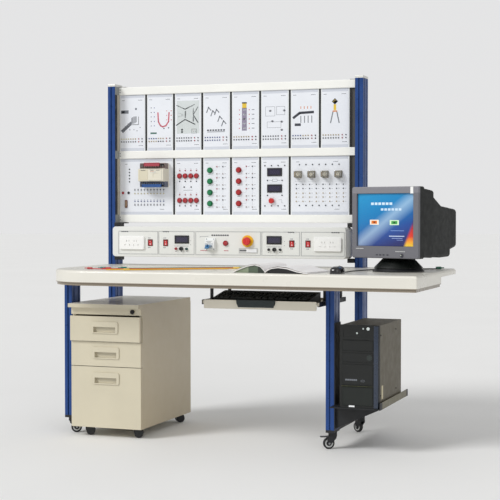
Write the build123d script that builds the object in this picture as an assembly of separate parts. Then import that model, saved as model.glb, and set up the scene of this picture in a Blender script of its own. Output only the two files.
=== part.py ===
from build123d import *
import os
from math import cos, radians, sin

# Desk
desk_width = 1795
desk_depth = 810
desk_height = 800
slab_thickness = 26
board_thickness = 44
board_depth = 482
desk_corner = 240
small_corner = 6
desk_edge_round = 12
strip_height = 12
strip_setback = 6

# Slotted frame profiles
post_width = 40
post_depth = 90
post_overhang = 9.5
side_overhang = 432.5
base_length = 565
post_over_desk = 910
slot_mouth = 8
slot_lip = 2.5
slot_inner = 14
slot_deep = 5.5
slot_pitch = 45
cap_thickness = 12
foot_block = 12
base_height = 78
base_plate_height = 110
base_plate_width = 26
base_plate_wall = 3
joint_gap = 0.3
running_gap = 0.5

# Rack rails and the module plates between them
rail_height = 40
rail_depth = 30
rail_setback = 48.5
rail_pitch = 327
rail_over_desk = 908
groove_setback = 6.5
groove_deep = 6
plate_thickness = 3
plate_height = 297
plate_lip = 5
module_count = 8
module_gap = 11
module_edge_gap = 1
module_end_gap = 32
divider_setback = 1
divider_depth = 18
divider_gap = 0.2
back_box_depth = 28
back_box_inset = 14
back_box_lip = 30

bracket_leg = 40
bracket_sheet = 5
strap_thickness = 2
end_plate = 2
end_plate_setback = 3

# Controls on the modules
lamp_radius = 13.5
lamp_base = 5
lamp_height = 13
lamp_pitch_share = 0.2132
lamp_rows = (201, 77)
button_radius = 11
button_collar = 14.5
collar_height = 7
button_height = 14
button_travel = 4
button_bore_deep = 12
button_share = 0.257
button_first = 228
button_pitch = 55.6
button_count = 4
knob_radius = 13
knob_height = 17
knob_shaft = 3
knob_share = 0.396
knob_level = 74
meter_size = (77, 40)
meter_raise = 4
meter_share = 0.493
meter_levels = (216, 135)
relay_size = (30, 30, 34)
relay_first_share = 0.137
relay_pitch_share = 0.23
relay_socket = (3, 6, 8)
relay_level = 203
plc_size = (138, 122)
plc_share = 0.692
plc_level = 145
plc_depth = 75
plc_cover_height = 27
plc_cover_depth = 52
plc_rim = 4

# Power console
console_side_gap = 22
console_height = 151
console_depth = 110
console_over_desk = 43
console_front = 240
console_wall = 2.5
fascia_thickness = 6
fascia_corner = 16
clamp_size = (34, 44, 20)
outlet_size = (137, 67)
outlet_raise = 9
outlet_insets = (110, 89)
outlet_level = 69
rocker_insets = ((210, 294), (271, 189))
rocker_level = 71
rocker_width = 17
rocker_half = 12
rocker_radius = 13
rocker_tilt = 9
rocker_frame = (26, 33, 2)
display_size = (77, 40)
display_raise = 3
display_insets = (382, 361)
display_level = 88
power_lamp_place = (0.501, 71)
breaker_size = (54, 60, 18)
breaker_place = (0.436, 66)
toggle_width = 20
toggle_barrel = 6
toggle_lever = 15
toggle_lever_thickness = 4
toggle_angle = 35
stop_place = (0.595, 82)
stop_collar = 29
stop_collar_height = 7
stop_stem = 11
stop_head = 20
stop_head_height = 13
stop_travel = 5

# Keyboard tray
tray_width = 540
tray_depth = 330
tray_right_gap = 24
tray_front = -220
tray_drop = 144
tray_sheet = 3
tray_lip = 40
tray_lip_up = 12
tray_bar = (10, 16)
runner_wall = 2
runner_length = 420
runner_flange = 14
hanger_length = 24
hanger_places = (-110, 120)
rest_length = 184
rest_left = 162
rest_depth = (11, 21)
rest_rise = 15
rest_drop = 19
rest_slope = 9
keyboard_size = (469, 185)
keyboard_back = 44
keyboard_front = 17
keyboard_left = 27
keyboard_gap = 22

# Computer and its shelf
tower_size = (180, 415, 366)
tower_gap = 43
tower_front = -230
tower_bezel = 24
shelf_sheet = 4
shelf_lip = 27
shelf_clearance = 9
shelf_front_gap = 6
shelf_back_gap = 92
shelf_top = 206
shelf_wall = (112, 30)
shelf_rib = 106
shelf_rear_rib = 60

# Monitor
monitor_gap = 254
monitor_y = -5
monitor_turn = -20
monitor_width = 356
monitor_height = 318
monitor_bottom = 62
bezel_depth = 46
bezel_front = 112
case_sections = ((46, 173, 6, 312, 14), (137, 168, 2, 302, 14), (147, 158, 4, 283, 14), (247, 146, 0, 233, 16),
                 (330, 134, 2, 226, 16), (334, 132, 30, 225, 16), (397, 125, 43, 220, 18))
screen_size = (302, 234)
screen_lift = 12
screen_depth = 12
screen_bulge = 900
foot_radius = 116
foot_height = 14
foot_dome = 30
foot_neck = 48
neck_height = 80

# Drawer pedestal
pedestal_gap = 20
pedestal_width = 365
pedestal_front = -205
pedestal_depth = 600
pedestal_bottom = 46
pedestal_height = 588
pedestal_wall = 16
pedestal_lid = 18
pedestal_lid_side = 6
pedestal_lid_front = 25
drawer_face = 18
drawer_heights = (292, 119, 121)
drawer_joint = 3
drawer_sheet = 5
drawer_side_gap = 3
drawer_ajar = 12
drawer_box_lift = 12
drawer_box_share = (210, 80, 86)
drawer_back_gap = 22
ledge_size = (14, 8)
handle_size = (140, 56)
handle_raise = 5
handle_pocket = (114, 26, 12)
handle_drop = (57, 55, 55)

# Casters
fork_trail = 18
fork_arm = 3
fork_head = 20
fork_reach = 8
crown_thickness = 4
brake_reach = 32
wheel_radius = 26
wheel_width = 20
wheel_gap = 0.8
axle_radius = 4
fork_turns = (300, 119, 57, 345)
small_wheel = 21
small_wheel_width = 13
small_hub = 12
small_trail = 17
hood_gap = 2.5
small_turns = (-60, -68, -52, -75)
small_inset = 55

# Loose items on the desk
mouse_size = (56, 104, 34)
drawn_width = 1795
mouse_place = (520, -300)
lead_radius = 2
lead_gap = 0.2
plug_radius = 4.5
plug_length = 42
mouse_lead_radius = 2.2
mouse_plug_radius = 6
mouse_plug_length = 40
book_depth = 250
book_spine = (212, -374)
book_turn = -8
book_sheet = 4
book_left = ((-158, 4), (-128, 17), (-90, 31), (-52, 38), (-24, 31), (-7, 16), (0, 5))
book_right = ((8, 13), (30, 23), (64, 28), (106, 24), (152, 12), (193, 5), (206, 4))

# Worked-out places
desk_left = -desk_width / 2
desk_front = -desk_depth / 2
desk_back = desk_depth / 2
desk_under = desk_height - slab_thickness
board_under = desk_under - board_thickness
frame_left = desk_left + post_overhang
frame_right = desk_width / 2 - side_overhang
bay_left = frame_left + post_width
bay_right = frame_right - post_width
post_front = desk_back - post_depth
post_top = desk_height + post_over_desk
rail_top = desk_height + rail_over_desk
leg_front = desk_back - base_length
rail_front = post_front + rail_setback
plate_front = rail_front + groove_setback + joint_gap
panel_left = bay_left + module_edge_gap
module_pitch = (bay_right - bay_left - module_edge_gap - module_end_gap) / module_count
plate_width = module_pitch - module_gap
double_width = 2 * module_pitch - module_gap
row_bottoms = [rail_top - k * rail_pitch - rail_height - plate_height + plate_lip for k in (0, 1)]
fascia_back = console_front + fascia_thickness
console_bottom = desk_height + console_over_desk
console_left = bay_left + console_side_gap
console_right = bay_right - console_side_gap
console_width = console_right - console_left
outlet_centres = (console_left + outlet_insets[0], console_right - outlet_insets[1])
rocker_centres = [console_left + inset for inset in rocker_insets[0]]
rocker_centres += [console_right - inset for inset in rocker_insets[1]]
display_centres = (console_left + display_insets[0], console_right - display_insets[1])
power_lamp_centre = (console_left + power_lamp_place[0] * console_width, power_lamp_place[1])
breaker_centre = (console_left + breaker_place[0] * console_width, breaker_place[1])
stop_centre = (console_left + stop_place[0] * console_width, stop_place[1])
lamp_panel = panel_left + 2 * module_pitch
start_panel = panel_left + 3 * module_pitch
stop_panel = panel_left + 4 * module_pitch
meter_panel = panel_left + 5 * module_pitch
relay_panel = panel_left + 6 * module_pitch
button_offset = button_share * plate_width
meter_offset = meter_share * plate_width
knob_offset = knob_share * plate_width
tray_top = desk_height - tray_drop
tray_left = bay_right - tray_right_gap - tray_width
tower_left = frame_right + tower_gap
monitor_centre = (frame_right + monitor_gap, monitor_y)
pedestal_left = bay_left + pedestal_gap
loose_scale = desk_width / drawn_width
mouse_centre = (mouse_place[0] * loose_scale, mouse_place[1])


def block(x, y, z):
    size = Box(x[1] - x[0], y[1] - y[0], z[1] - z[0], align=(Align.MIN, Align.MIN, Align.MIN))
    return Pos(x[0], y[0], z[0]) * size


def rod(start, end, radius):
    return Solid.make_cylinder(radius, (Vector(*end) - Vector(*start)).length,
                               Plane(origin=start, z_dir=Vector(*end) - Vector(*start)))


def along_y(x, z, y_front, y_back, radius):
    return rod((x, y_front, z), (x, y_back, z), radius)


def group(solids):
    return Compound(children=list(solids))


def desk_outline(front, back, inset):
    outline = Pos(0, (front + inset + back) / 2) * Rectangle(desk_width - 2 * inset, back - front - inset)
    corners = outline.vertices().group_by(Axis.Y)[0].sort_by(Axis.X)
    outline = fillet(corners[0], desk_corner - inset)
    others = [v for v in outline.vertices() if v.X > 0 or v.Y > front + desk_corner + 1]
    return fillet(others, small_corner)


def desk_top():
    slab = extrude(Pos(0, 0, desk_under) * desk_outline(desk_front, desk_back, 0), slab_thickness)
    board_back = desk_front + board_depth
    board = extrude(Pos(0, 0, board_under + strip_height) * desk_outline(desk_front, board_back, 0),
                    board_thickness - strip_height)
    strip = extrude(Pos(0, 0, board_under) * desk_outline(desk_front, board_back, strip_setback), strip_height)
    top = slab + board + strip
    rim = [e for e in top.edges().filter_by(Plane.XY) if e.center().Z > desk_height - 0.01]
    top = fillet([e for e in rim if e.center().Y < desk_back - small_corner - 1], desk_edge_round)
    for left in (frame_left, bay_right):
        notch = block((left - joint_gap / 2, left + post_width + joint_gap / 2),
                      (post_front - joint_gap / 2, desk_back + 1), (desk_under - 1, desk_height + 1))
        top -= notch
    return top


def slot_section():
    lip = Rectangle(slot_mouth, slot_lip * 2)
    inner = Pos(0, -slot_lip - (slot_deep - slot_lip) / 2) * Rectangle(slot_inner, slot_deep - slot_lip)
    return lip + inner


def post_section():
    section = fillet(Rectangle(post_width, post_depth).vertices(), 2)
    for turn, reach in ((0, post_depth / 2), (180, post_depth / 2)):
        section -= Rot(0, 0, turn) * Pos(0, reach) * slot_section()
    for turn in (90, 270):
        for shift in (-slot_pitch / 2, slot_pitch / 2):
            section -= Rot(0, 0, turn) * Pos(shift, post_width / 2) * slot_section()
    return section


def profile(left, front, bottom, top):
    place = Pos(left + post_width / 2, front + post_depth / 2, bottom)
    return extrude(place * post_section(), top - bottom)


def frame_posts():
    solids = []
    bottom = base_height + foot_block
    for left in (frame_left, bay_right):
        solids.append(profile(left, leg_front, bottom, board_under))
        solids.append(profile(left, post_front, bottom, post_top))
        cap = block((left, left + post_width), (post_front, desk_back), (post_top, post_top + cap_thickness))
        solids.append(fillet(cap.faces().sort_by(Axis.Z)[-1].edges(), 3))
    return group(solids)


def base_plates():
    solids = []
    for left in (frame_left, bay_right):
        for front in (leg_front, post_front):
            foot = block((left, left + post_width), (front, front + post_depth),
                         (base_height, base_height + foot_block))
            solids.append(fillet(foot.edges().filter_by(Axis.Z), 2))
        middle = left + post_width / 2
        inward = 1 if left < 0 else -1
        y_range = (leg_front + post_depth, post_front)
        z_range = (base_height, base_height + base_plate_height)
        beam = block((middle - base_plate_width / 2, middle + base_plate_width / 2), y_range, z_range)
        hollow = block((middle - base_plate_width / 2, middle + base_plate_width / 2),
                       (y_range[0] + base_plate_wall, y_range[1] - base_plate_wall),
                       (z_range[0] + base_plate_wall, z_range[1] - base_plate_wall))
        solids.append(beam - Pos(inward * base_plate_wall, 0, 0) * hollow)
    return group(solids)


def panel_rails():
    solids = []
    groove_y = (rail_front + groove_setback, rail_front + groove_setback + plate_thickness + 2 * joint_gap)
    for k in range(3):
        top = rail_top - k * rail_pitch
        rail = block((bay_left, bay_right), (rail_front, rail_front + rail_depth), (top - rail_height, top))
        rail = fillet([e for e in rail.edges().filter_by(Axis.X) if e.center().Y < rail_front + 1], 3)
        if k > 0:
            rail -= block((bay_left - 1, bay_right + 1), groove_y, (top - groove_deep, top + 1))
        if k < 2:
            rail -= block((bay_left - 1, bay_right + 1), groove_y,
                          (top - rail_height - 1, top - rail_height + groove_deep))
        solids.append(rail)
    return group(solids)


def spread(x, inward, reach):
    return sorted((x, x + inward * reach))


def corner_bracket(x, inward, level):
    depth = (rail_front + 2, rail_front + rail_depth - 2)
    upright = block(spread(x, inward, bracket_sheet), depth, (level - bracket_leg, level))
    return upright + block(spread(x, inward, bracket_leg), depth, (level - bracket_sheet, level))


def desk_bracket(middle):
    width = (middle - bracket_sheet * 3, middle + bracket_sheet * 3)
    upright = block(width, (post_front - bracket_sheet, post_front), (desk_under - bracket_leg, desk_under))
    flange = block(width, (post_front - bracket_leg, post_front), (desk_under - bracket_sheet, desk_under))
    return upright + flange


def post_brackets():
    solids = []
    low_rail = rail_top - 2 * rail_pitch - rail_height
    clamp_back = console_front + console_depth
    for x, inward in ((bay_left, 1), (bay_right, -1)):
        for k in range(3):
            top = rail_top - k * rail_pitch
            solids.append(block(spread(x, inward, end_plate), (post_front + end_plate_setback, rail_front),
                                (top - rail_height, top)))
        solids.append(corner_bracket(x, inward, low_rail))
        solids.append(block(spread(x, inward, bracket_leg), (rail_front + 2, rail_front + rail_depth - 2),
                            (rail_top, rail_top + strap_thickness)))
        for bottom in (console_bottom - clamp_size[2], console_bottom + console_height):
            clamp = block(spread(x, inward, clamp_size[0]), (clamp_back - clamp_size[1], clamp_back),
                          (bottom, bottom + clamp_size[2]))
            solids.append(fillet(clamp.edges().filter_by(Axis.X), 2))
        solids.append(desk_bracket(x - inward * post_width / 2))
    return group(solids + module_dividers())


def module_dividers():
    solids = []
    front = plate_front + divider_setback
    gaps = [(0, k) for k in range(1, module_count + 1)] + [(1, k) for k in (2, 3, 4, 5, 6, module_count)]
    for row, k in gaps:
        left = panel_left + k * module_pitch - module_gap
        rail_bottom = rail_top - row * rail_pitch - rail_height
        solids.append(block((left + divider_gap, left + module_gap - divider_gap), (front, front + divider_depth),
                            (rail_bottom + rail_height - rail_pitch, rail_bottom)))
    return solids


def module(left, columns, bottom):
    width = columns * module_pitch - module_gap
    plate = block((left, left + width), (plate_front, plate_front + plate_thickness),
                  (bottom, bottom + plate_height))
    back = block((left + back_box_inset, left + width - back_box_inset),
                 (plate_front + plate_thickness, plate_front + plate_thickness + back_box_depth),
                 (bottom + back_box_lip, bottom + plate_height - back_box_lip))
    return plate + back


def button_places():
    row = row_bottoms[1]
    for k in range(button_count):
        level = row + button_first - k * button_pitch
        yield start_panel + button_offset, level, stop_panel + button_offset, level


def with_button_seats(plate, column):
    for place in button_places():
        x, z = place[2 * column], place[2 * column + 1]
        plate += along_y(x, z, plate_front - collar_height, plate_front, button_collar)
        plate -= along_y(x, z, plate_front - collar_height - 1, plate_front + button_bore_deep,
                         button_radius + joint_gap)
    return plate


def module_panels():
    upper, lower = row_bottoms
    solids = [module(panel_left + k * module_pitch, 1, upper) for k in range(module_count)]
    solids.append(module(panel_left, 2, lower))
    solids.append(module(lamp_panel, 1, lower))
    solids.append(with_button_seats(module(start_panel, 1, lower), 0))
    solids.append(with_button_seats(module(stop_panel, 1, lower), 1))
    meters = module(meter_panel, 1, lower)
    for level in meter_levels:
        x, z = meter_panel + meter_offset, lower + level
        meters += block((x - meter_size[0] / 2, x + meter_size[0] / 2), (plate_front - meter_raise, plate_front),
                        (z - meter_size[1] / 2, z + meter_size[1] / 2))
    meters -= along_y(meter_panel + knob_offset, lower + knob_level, plate_front - 1,
                      plate_front + button_bore_deep, knob_shaft + joint_gap)
    solids.append(meters)
    solids.append(module(relay_panel, 2, lower))
    return group(solids)


def plc_controller():
    centre = panel_left + plc_share * double_width
    z = row_bottoms[1] + plc_level + plc_size[1] / 2
    half = plc_size[1] / 2
    depth, low, cover = plc_depth, plc_cover_depth, plc_cover_height
    side = [(0, -half), (-low + plc_rim, -half), (-low, -half + plc_rim), (-low, -half + cover),
            (-depth, -half + cover + plc_rim), (-depth, half - cover - plc_rim), (-low, half - cover),
            (-low, half - plc_rim), (-low + plc_rim, half), (0, half)]
    profile_plane = Plane(origin=(centre - plc_size[0] / 2, plate_front, z), x_dir=(0, 1, 0), z_dir=(1, 0, 0))
    body = extrude(profile_plane * make_face(Polyline(*side, close=True)), plc_size[0])
    for shift in (-0.24, 0.2):
        slot = block((centre + shift * plc_size[0] - 14, centre + shift * plc_size[0] + 14),
                     (plate_front - depth - 1, plate_front - depth + 2), (z - 13, z + 9))
        body -= slot
    return body


def lamp(x, front, z, radius):
    points = [(0, 0), (radius, 0), (radius, lamp_base), (radius * 0.86, lamp_base),
              (radius * 0.74, lamp_height * 0.78), (radius * 0.4, lamp_height), (0, lamp_height)]
    plane = Plane(origin=(x, front, z), x_dir=(1, 0, 0), z_dir=(0, 0, 1))
    face = plane * make_face(Polyline(*[(r, -h) for r, h in points], close=True))
    return revolve(face, Axis((x, front, z), (0, 1, 0)))


def indicator_lamps():
    lower = row_bottoms[1]
    solids = []
    for level in lamp_rows:
        for k in range(4):
            x = lamp_panel + (0.5 + (k - 1.5) * lamp_pitch_share) * plate_width
            solids.append(lamp(x, plate_front, lower + level, lamp_radius))
    centre, level = power_lamp_centre
    solids.append(lamp(centre, console_front, console_bottom + level, lamp_radius))
    return group(solids)


def relays():
    solids = []
    w, h, d = relay_size
    side, over, deep = relay_socket
    for k in range(4):
        x = relay_panel + (relay_first_share + k * relay_pitch_share) * double_width
        z = row_bottoms[1] + relay_level
        cover = block((x - w / 2, x + w / 2), (plate_front - d, plate_front), (z - h / 2, z + h / 2))
        cover = chamfer(cover.faces().sort_by(Axis.Y)[0].edges(), 2)
        socket = block((x - w / 2 - side, x + w / 2 + side), (plate_front - deep, plate_front),
                       (z - h / 2 - over, z + h / 2 + over))
        solids.append(cover + socket)
    return group(solids)


def push_button(x, z):
    front = plate_front - button_height
    back = plate_front + button_bore_deep - button_travel - 1
    cap = along_y(x, z, front, back, button_radius)
    return chamfer(cap.faces().sort_by(Axis.Y)[0].edges(), 1.2)


def test_knob():
    x = meter_panel + knob_offset
    z = row_bottoms[1] + knob_level
    head = along_y(x, z, plate_front - joint_gap - knob_height, plate_front - joint_gap, knob_radius)
    head = chamfer(head.faces().sort_by(Axis.Y)[0].edges(), 2)
    pointer = block((x - 1, x + 1), (plate_front - knob_height - 1, plate_front - knob_height + 0.7),
                    (z + 2, z + knob_radius + 1))
    return head - pointer + along_y(x, z, plate_front - 1, plate_front + button_bore_deep - 1, knob_shaft)


def console_case():
    left = console_left
    outer = block((left, console_right), (fascia_back, console_front + console_depth),
                  (console_bottom, console_bottom + console_height))
    outer = fillet(outer.edges().filter_by(Axis.Y), fascia_corner)
    inner = block((left + console_wall, left + console_width - console_wall),
                  (fascia_back - 1, console_front + console_depth - console_wall),
                  (console_bottom + console_wall, console_bottom + console_height - console_wall))
    inner = fillet(inner.edges().filter_by(Axis.Y), fascia_corner - console_wall)
    return outer - inner


def console_fascia():
    left = console_left
    plate = block((left, console_right), (console_front, fascia_back),
                  (console_bottom, console_bottom + console_height))
    plate = fillet(plate.edges().filter_by(Axis.Y), fascia_corner)
    plate = chamfer(plate.faces().sort_by(Axis.Y)[0].edges(), 2)
    w, h, raise_by = rocker_frame
    half_w = rocker_width / 2 + joint_gap
    half_h = rocker_radius + joint_gap
    z = console_bottom + rocker_level
    for x in rocker_centres:
        plate += block((x - w / 2, x + w / 2), (console_front - raise_by, console_front), (z - h / 2, z + h / 2))
        plate -= block((x - half_w, x + half_w), (console_front - raise_by - 1, fascia_back + 1),
                       (z - half_h, z + half_h))
    for x in display_centres:
        z = console_bottom + display_level
        plate += block((x - display_size[0] / 2, x + display_size[0] / 2),
                       (console_front - display_raise, console_front),
                       (z - display_size[1] / 2, z + display_size[1] / 2))
    x, level = stop_centre
    z = console_bottom + level
    plate += along_y(x, z, console_front - stop_collar_height, console_front, stop_collar)
    plate -= along_y(x, z, console_front - stop_collar_height - 1, fascia_back + 1, stop_stem + joint_gap)
    return plate


def outlet_plates():
    solids = []
    w, h = outlet_size
    z = console_bottom + outlet_level
    for x in outlet_centres:
        plate = block((x - w / 2, x + w / 2), (console_front - outlet_raise, console_front), (z - h / 2, z + h / 2))
        plate = fillet(plate.edges().filter_by(Axis.Y), 7)
        plate = chamfer(plate.faces().sort_by(Axis.Y)[0].edges(), 2)
        for dx, dz, sw, sh in ((-28, 10, 3, 9), (-14, 10, 3, 9), (14, 10, 3, 9), (28, 10, 3, 9), (-36, -10, 9, 3),
                               (-12, -10, 3, 9), (12, -10, 3, 9), (36, -10, 9, 3)):
            plate -= block((x + dx - sw / 2, x + dx + sw / 2),
                           (console_front - outlet_raise - 1, console_front - 3),
                           (z + dz - sh / 2, z + dz + sh / 2))
        solids.append(plate)
    return group(solids)


def breaker_pivot():
    x = breaker_centre[0] - breaker_size[0] / 2 + toggle_width / 2 + 8
    z = console_bottom + breaker_centre[1] - 8
    return x, console_front - breaker_size[2] + 1, z


def breaker_body():
    w, h, d = breaker_size
    x, z = breaker_centre[0], console_bottom + breaker_centre[1]
    flange = block((x - w / 2, x + w / 2), (console_front - 6, console_front), (z - h / 2, z + h / 2))
    nose = block((x - w / 2 + 2, x + w / 2 - 2), (console_front - d, console_front), (z - 20, z + 20))
    px, py, pz = breaker_pivot()
    reach = toggle_width / 2 + joint_gap
    seat = rod((px - reach, py, pz), (px + reach, py, pz), toggle_barrel + joint_gap)
    return flange + nose - seat


def breaker_toggle():
    px, py, pz = breaker_pivot()
    half = toggle_width / 2
    barrel = rod((px - half, py, pz), (px + half, py, pz), toggle_barrel)
    lever = block((-half, half), (-toggle_barrel - toggle_lever, 0),
                  (-toggle_lever_thickness / 2, toggle_lever_thickness / 2))
    return barrel + Pos(px, py, pz) * Rot(toggle_angle, 0, 0) * lever


def rocker(x):
    reach, back = rocker_half, 5
    side = [(-3, 0), (-5, reach), (back, 8), (back, -8), (-5, -reach)]
    plane = Plane(origin=(-rocker_width / 2, 0, 0), x_dir=(0, 1, 0), z_dir=(1, 0, 0))
    paddle = extrude(plane * make_face(Polyline(*side, close=True)), rocker_width)
    return Pos(x, console_front + 2, console_bottom + rocker_level) * Rot(rocker_tilt, 0, 0) * paddle


def stop_button():
    x, z = stop_centre[0], console_bottom + stop_centre[1]
    collar = console_front - stop_collar_height
    under = collar - stop_travel - running_gap
    head = along_y(x, z, under - stop_head_height, under, stop_head)
    head = fillet(head.faces().sort_by(Axis.Y)[0].edges(), 5)
    return head + along_y(x, z, under - 1, fascia_back, stop_stem)


def tray_runners():
    solids = []
    front, back = tray_front + 6, tray_front + 6 + runner_length
    bar_w, bar_h = tray_bar
    z0 = tray_top - bar_h / 2 - running_gap - runner_wall
    z1 = tray_top + bar_h / 2 + running_gap + runner_wall
    for side, edge in ((-1, tray_left), (1, tray_left + tray_width)):
        near = edge + side * 1.5
        far = edge + side * (bar_w + running_gap)
        wall = far + side * runner_wall
        web = block(sorted((far, wall)), (front, back), (z0, z1))
        low = block(sorted((near, wall)), (front, back), (z0, z0 + runner_wall))
        high = block(sorted((near, wall)), (front, back), (z1 - runner_wall, z1))
        runner = web + low + high
        for start in hanger_places:
            span = (start, start + hanger_length)
            runner += block(sorted((far, wall)), span, (z1 - 1, board_under))
            runner += block(sorted((wall, far - side * runner_flange)), (start, start + runner_wall),
                            (z1 - 1, board_under))
            runner += block(sorted((wall, far - side * runner_flange)), span, (board_under - runner_wall, board_under))
        solids.append(runner)
    return group(solids)


def rest_outline(gap):
    left, right = tray_left + rest_left + gap, tray_left + rest_left + rest_length - gap
    low, high = tray_top - rest_drop, tray_top + rest_rise
    outline = [(left + rest_slope, low), (right - rest_slope, low), (right, tray_top), (right, high), (left, high),
               (left, tray_top)]
    plane = Plane(origin=(0, tray_front + tray_sheet, 0), x_dir=(1, 0, 0), z_dir=(0, -1, 0))
    return extrude(plane * make_face(Polyline(*outline, close=True)), rest_depth[0] + tray_sheet)


def keyboard_tray():
    right = tray_left + tray_width
    back = tray_front + tray_depth
    sheet = block((tray_left, right), (tray_front, back), (tray_top - tray_sheet, tray_top))
    lip = block((tray_left, right), (tray_front, tray_front + tray_sheet),
                (tray_top + tray_lip_up - tray_lip, tray_top + tray_lip_up))
    lip = fillet(lip.edges().filter_by(Axis.Y), 6)
    opening = rest_outline(0)
    rear = block((tray_left + 12, right - 12), (back - tray_sheet, back), (tray_top - tray_sheet, tray_top + 10))
    tray = sheet + lip + rear
    bar_w, bar_h = tray_bar
    for x in ((tray_left - bar_w, tray_left + 1), (right - 1, right + bar_w)):
        tray += block(x, (tray_front + 10, back), (tray_top - bar_h / 2, tray_top + bar_h / 2))
    return tray - opening


def wrist_rest():
    low, high = tray_top - rest_drop, tray_top + rest_rise
    front, back = tray_front - rest_depth[0], tray_front + rest_depth[1]
    left, right = tray_left + rest_left, tray_left + rest_left + rest_length
    pad = rest_outline(joint_gap)
    pad += block((left + joint_gap, right - joint_gap), (tray_front, back), (tray_top, high))
    edges = [e for e in pad.edges().filter_by(Axis.X) if e.center().Z > high - 1]
    edges += [e for e in pad.edges().filter_by(Axis.X) if e.center().Z < low + 1 and e.center().Y < front + 1]
    return fillet(edges, 5)


def keyboard():
    w, d = keyboard_size
    left, front = tray_left + keyboard_left, tray_front + keyboard_gap
    side = [(0, 0), (d, 0), (d, keyboard_back), (d - 26, keyboard_back - 2), (12, keyboard_front),
            (0, keyboard_front - 6)]
    plane = Plane(origin=(left, front, tray_top), x_dir=(0, 1, 0), z_dir=(1, 0, 0))
    body = extrude(plane * make_face(Polyline(*side, close=True)), w)
    return fillet(body.edges().filter_by(Axis.Z), 4)


def cpu_holder():
    z = shelf_top
    x0, x1 = frame_right, tower_left + tower_size[0] + shelf_clearance
    front, back = tower_front - shelf_front_gap, tower_front + tower_size[1] + shelf_back_gap
    wall = block((x0, x0 + shelf_sheet), (leg_front, desk_back),
                 (z - shelf_wall[0], z + shelf_wall[1]))
    shelf = block((x0, x1), (front, back), (z - shelf_sheet, z))
    lip = block((x1 - shelf_sheet, x1), (front, back), (z - shelf_sheet, z + shelf_lip))
    stay = block((x0, x0 + shelf_sheet), (leg_front, leg_front + post_depth), (z, z + tower_size[2]))
    holder = wall + shelf + lip + stay
    for y, tall in ((leg_front + 20, shelf_rib), (back - 30, shelf_rear_rib)):
        rib = [(0, 0), (x1 - x0, 0), (0, -tall)]
        plane = Plane(origin=(x0, y, z - shelf_sheet), x_dir=(1, 0, 0), z_dir=(0, -1, 0))
        holder += extrude(plane * make_face(Polyline(*rib, close=True)), shelf_sheet)
    return holder


def pc_tower():
    w, d, h = tower_size
    z = shelf_top
    body = block((tower_left + 2, tower_left + w - 2), (tower_front + tower_bezel, tower_front + d), (z, z + h - 2))
    bezel = block((tower_left, tower_left + w), (tower_front, tower_front + tower_bezel), (z, z + h))
    bezel = fillet(bezel.edges().filter_by(Axis.Z).group_by(Axis.Y)[0], 10)
    for level, tall in ((0.9, 34), (0.78, 34)):
        pocket = z + h * level
        bezel -= block((tower_left + 18, tower_left + w - 44), (tower_front - 1, tower_front + 2),
                       (pocket - tall / 2, pocket + tall / 2))
    return body + bezel


def monitor_place(shape):
    return Pos(monitor_centre[0], monitor_centre[1], desk_height) * Rot(0, 0, monitor_turn) * shape


def monitor_foot():
    outline = [(0, 0), (foot_radius, 0), (foot_radius, 5), (foot_radius - 8, foot_height), (70, foot_dome),
               (0, foot_dome)]
    face = Plane.XZ * make_face(Polyline(*outline, close=True))
    return monitor_place(revolve(face, Axis.Z))


def monitor_case():
    w, h, z = monitor_width, monitor_height, monitor_bottom
    front = -bezel_front
    bezel = block((-w / 2, w / 2), (front, front + bezel_depth), (z, z + h))
    bezel = fillet(bezel.edges().filter_by(Axis.Y), 10)
    bezel = fillet(bezel.faces().sort_by(Axis.Y)[0].outer_wire().edges(), 5)
    sections = []
    for depth, half, low, high, corner in case_sections:
        plane = Plane(origin=(0, front + depth, z + (low + high) / 2), x_dir=(1, 0, 0), z_dir=(0, 1, 0))
        sections.append(plane * RectangleRounded(2 * half, high - low, corner))
    shell = loft(sections[:2], ruled=True)
    for pair in zip(sections[1:], sections[2:]):
        shell += loft(pair, ruled=True)
    sw, sh = screen_size
    middle = z + h / 2 + screen_lift
    window = block((-sw / 2 - joint_gap, sw / 2 + joint_gap), (front - 1, front + screen_depth + 8),
                   (middle - sh / 2 - joint_gap, middle + sh / 2 + joint_gap))
    neck = Pos(0, 0, foot_dome + joint_gap) * Cylinder(foot_neck, neck_height,
                                                      align=(Align.CENTER, Align.CENTER, Align.MIN))
    return monitor_place(bezel + shell + neck - window)


def monitor_screen():
    sw, sh = screen_size
    front = -bezel_front
    z = monitor_bottom + monitor_height / 2 + screen_lift
    slab = block((-sw / 2, sw / 2), (front + 3, front + screen_depth + 8), (z - sh / 2, z + sh / 2))
    ball = Pos(0, front + 3 + screen_bulge, z) * Sphere(screen_bulge)
    return monitor_place(slab & ball)


def drawer_bottoms():
    level = pedestal_bottom
    for height in drawer_heights:
        yield level, height
        level += height


def pedestal_body():
    left, right = pedestal_left, pedestal_left + pedestal_width
    front, back = pedestal_front + drawer_face + joint_gap, pedestal_front + pedestal_depth
    top = pedestal_bottom + pedestal_height - pedestal_lid
    carcass = block((left, right), (front, back), (pedestal_bottom, top))
    room = block((left + pedestal_wall, right - pedestal_wall), (front - 1, back - pedestal_wall),
                 (pedestal_bottom + 4, top - 32))
    carcass -= room
    carcass += block((left, right), (pedestal_front + 2, front + 1), (top - 34, top))
    lid = block((left - pedestal_lid_side, right), (pedestal_front - pedestal_lid_front, back),
                (top, top + pedestal_lid))
    carcass += fillet(lid.edges().filter_by(Axis.Z), 4)
    for level, height in drawer_bottoms():
        z = level + drawer_box_lift
        for x in ((left + pedestal_wall - 0.5, left + pedestal_wall + ledge_size[0]),
                  (right - pedestal_wall - ledge_size[0], right - pedestal_wall + 0.5)):
            carcass += block(x, (front, back - pedestal_wall + 1), (z - ledge_size[1] - joint_gap, z - joint_gap))
    return carcass


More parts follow.
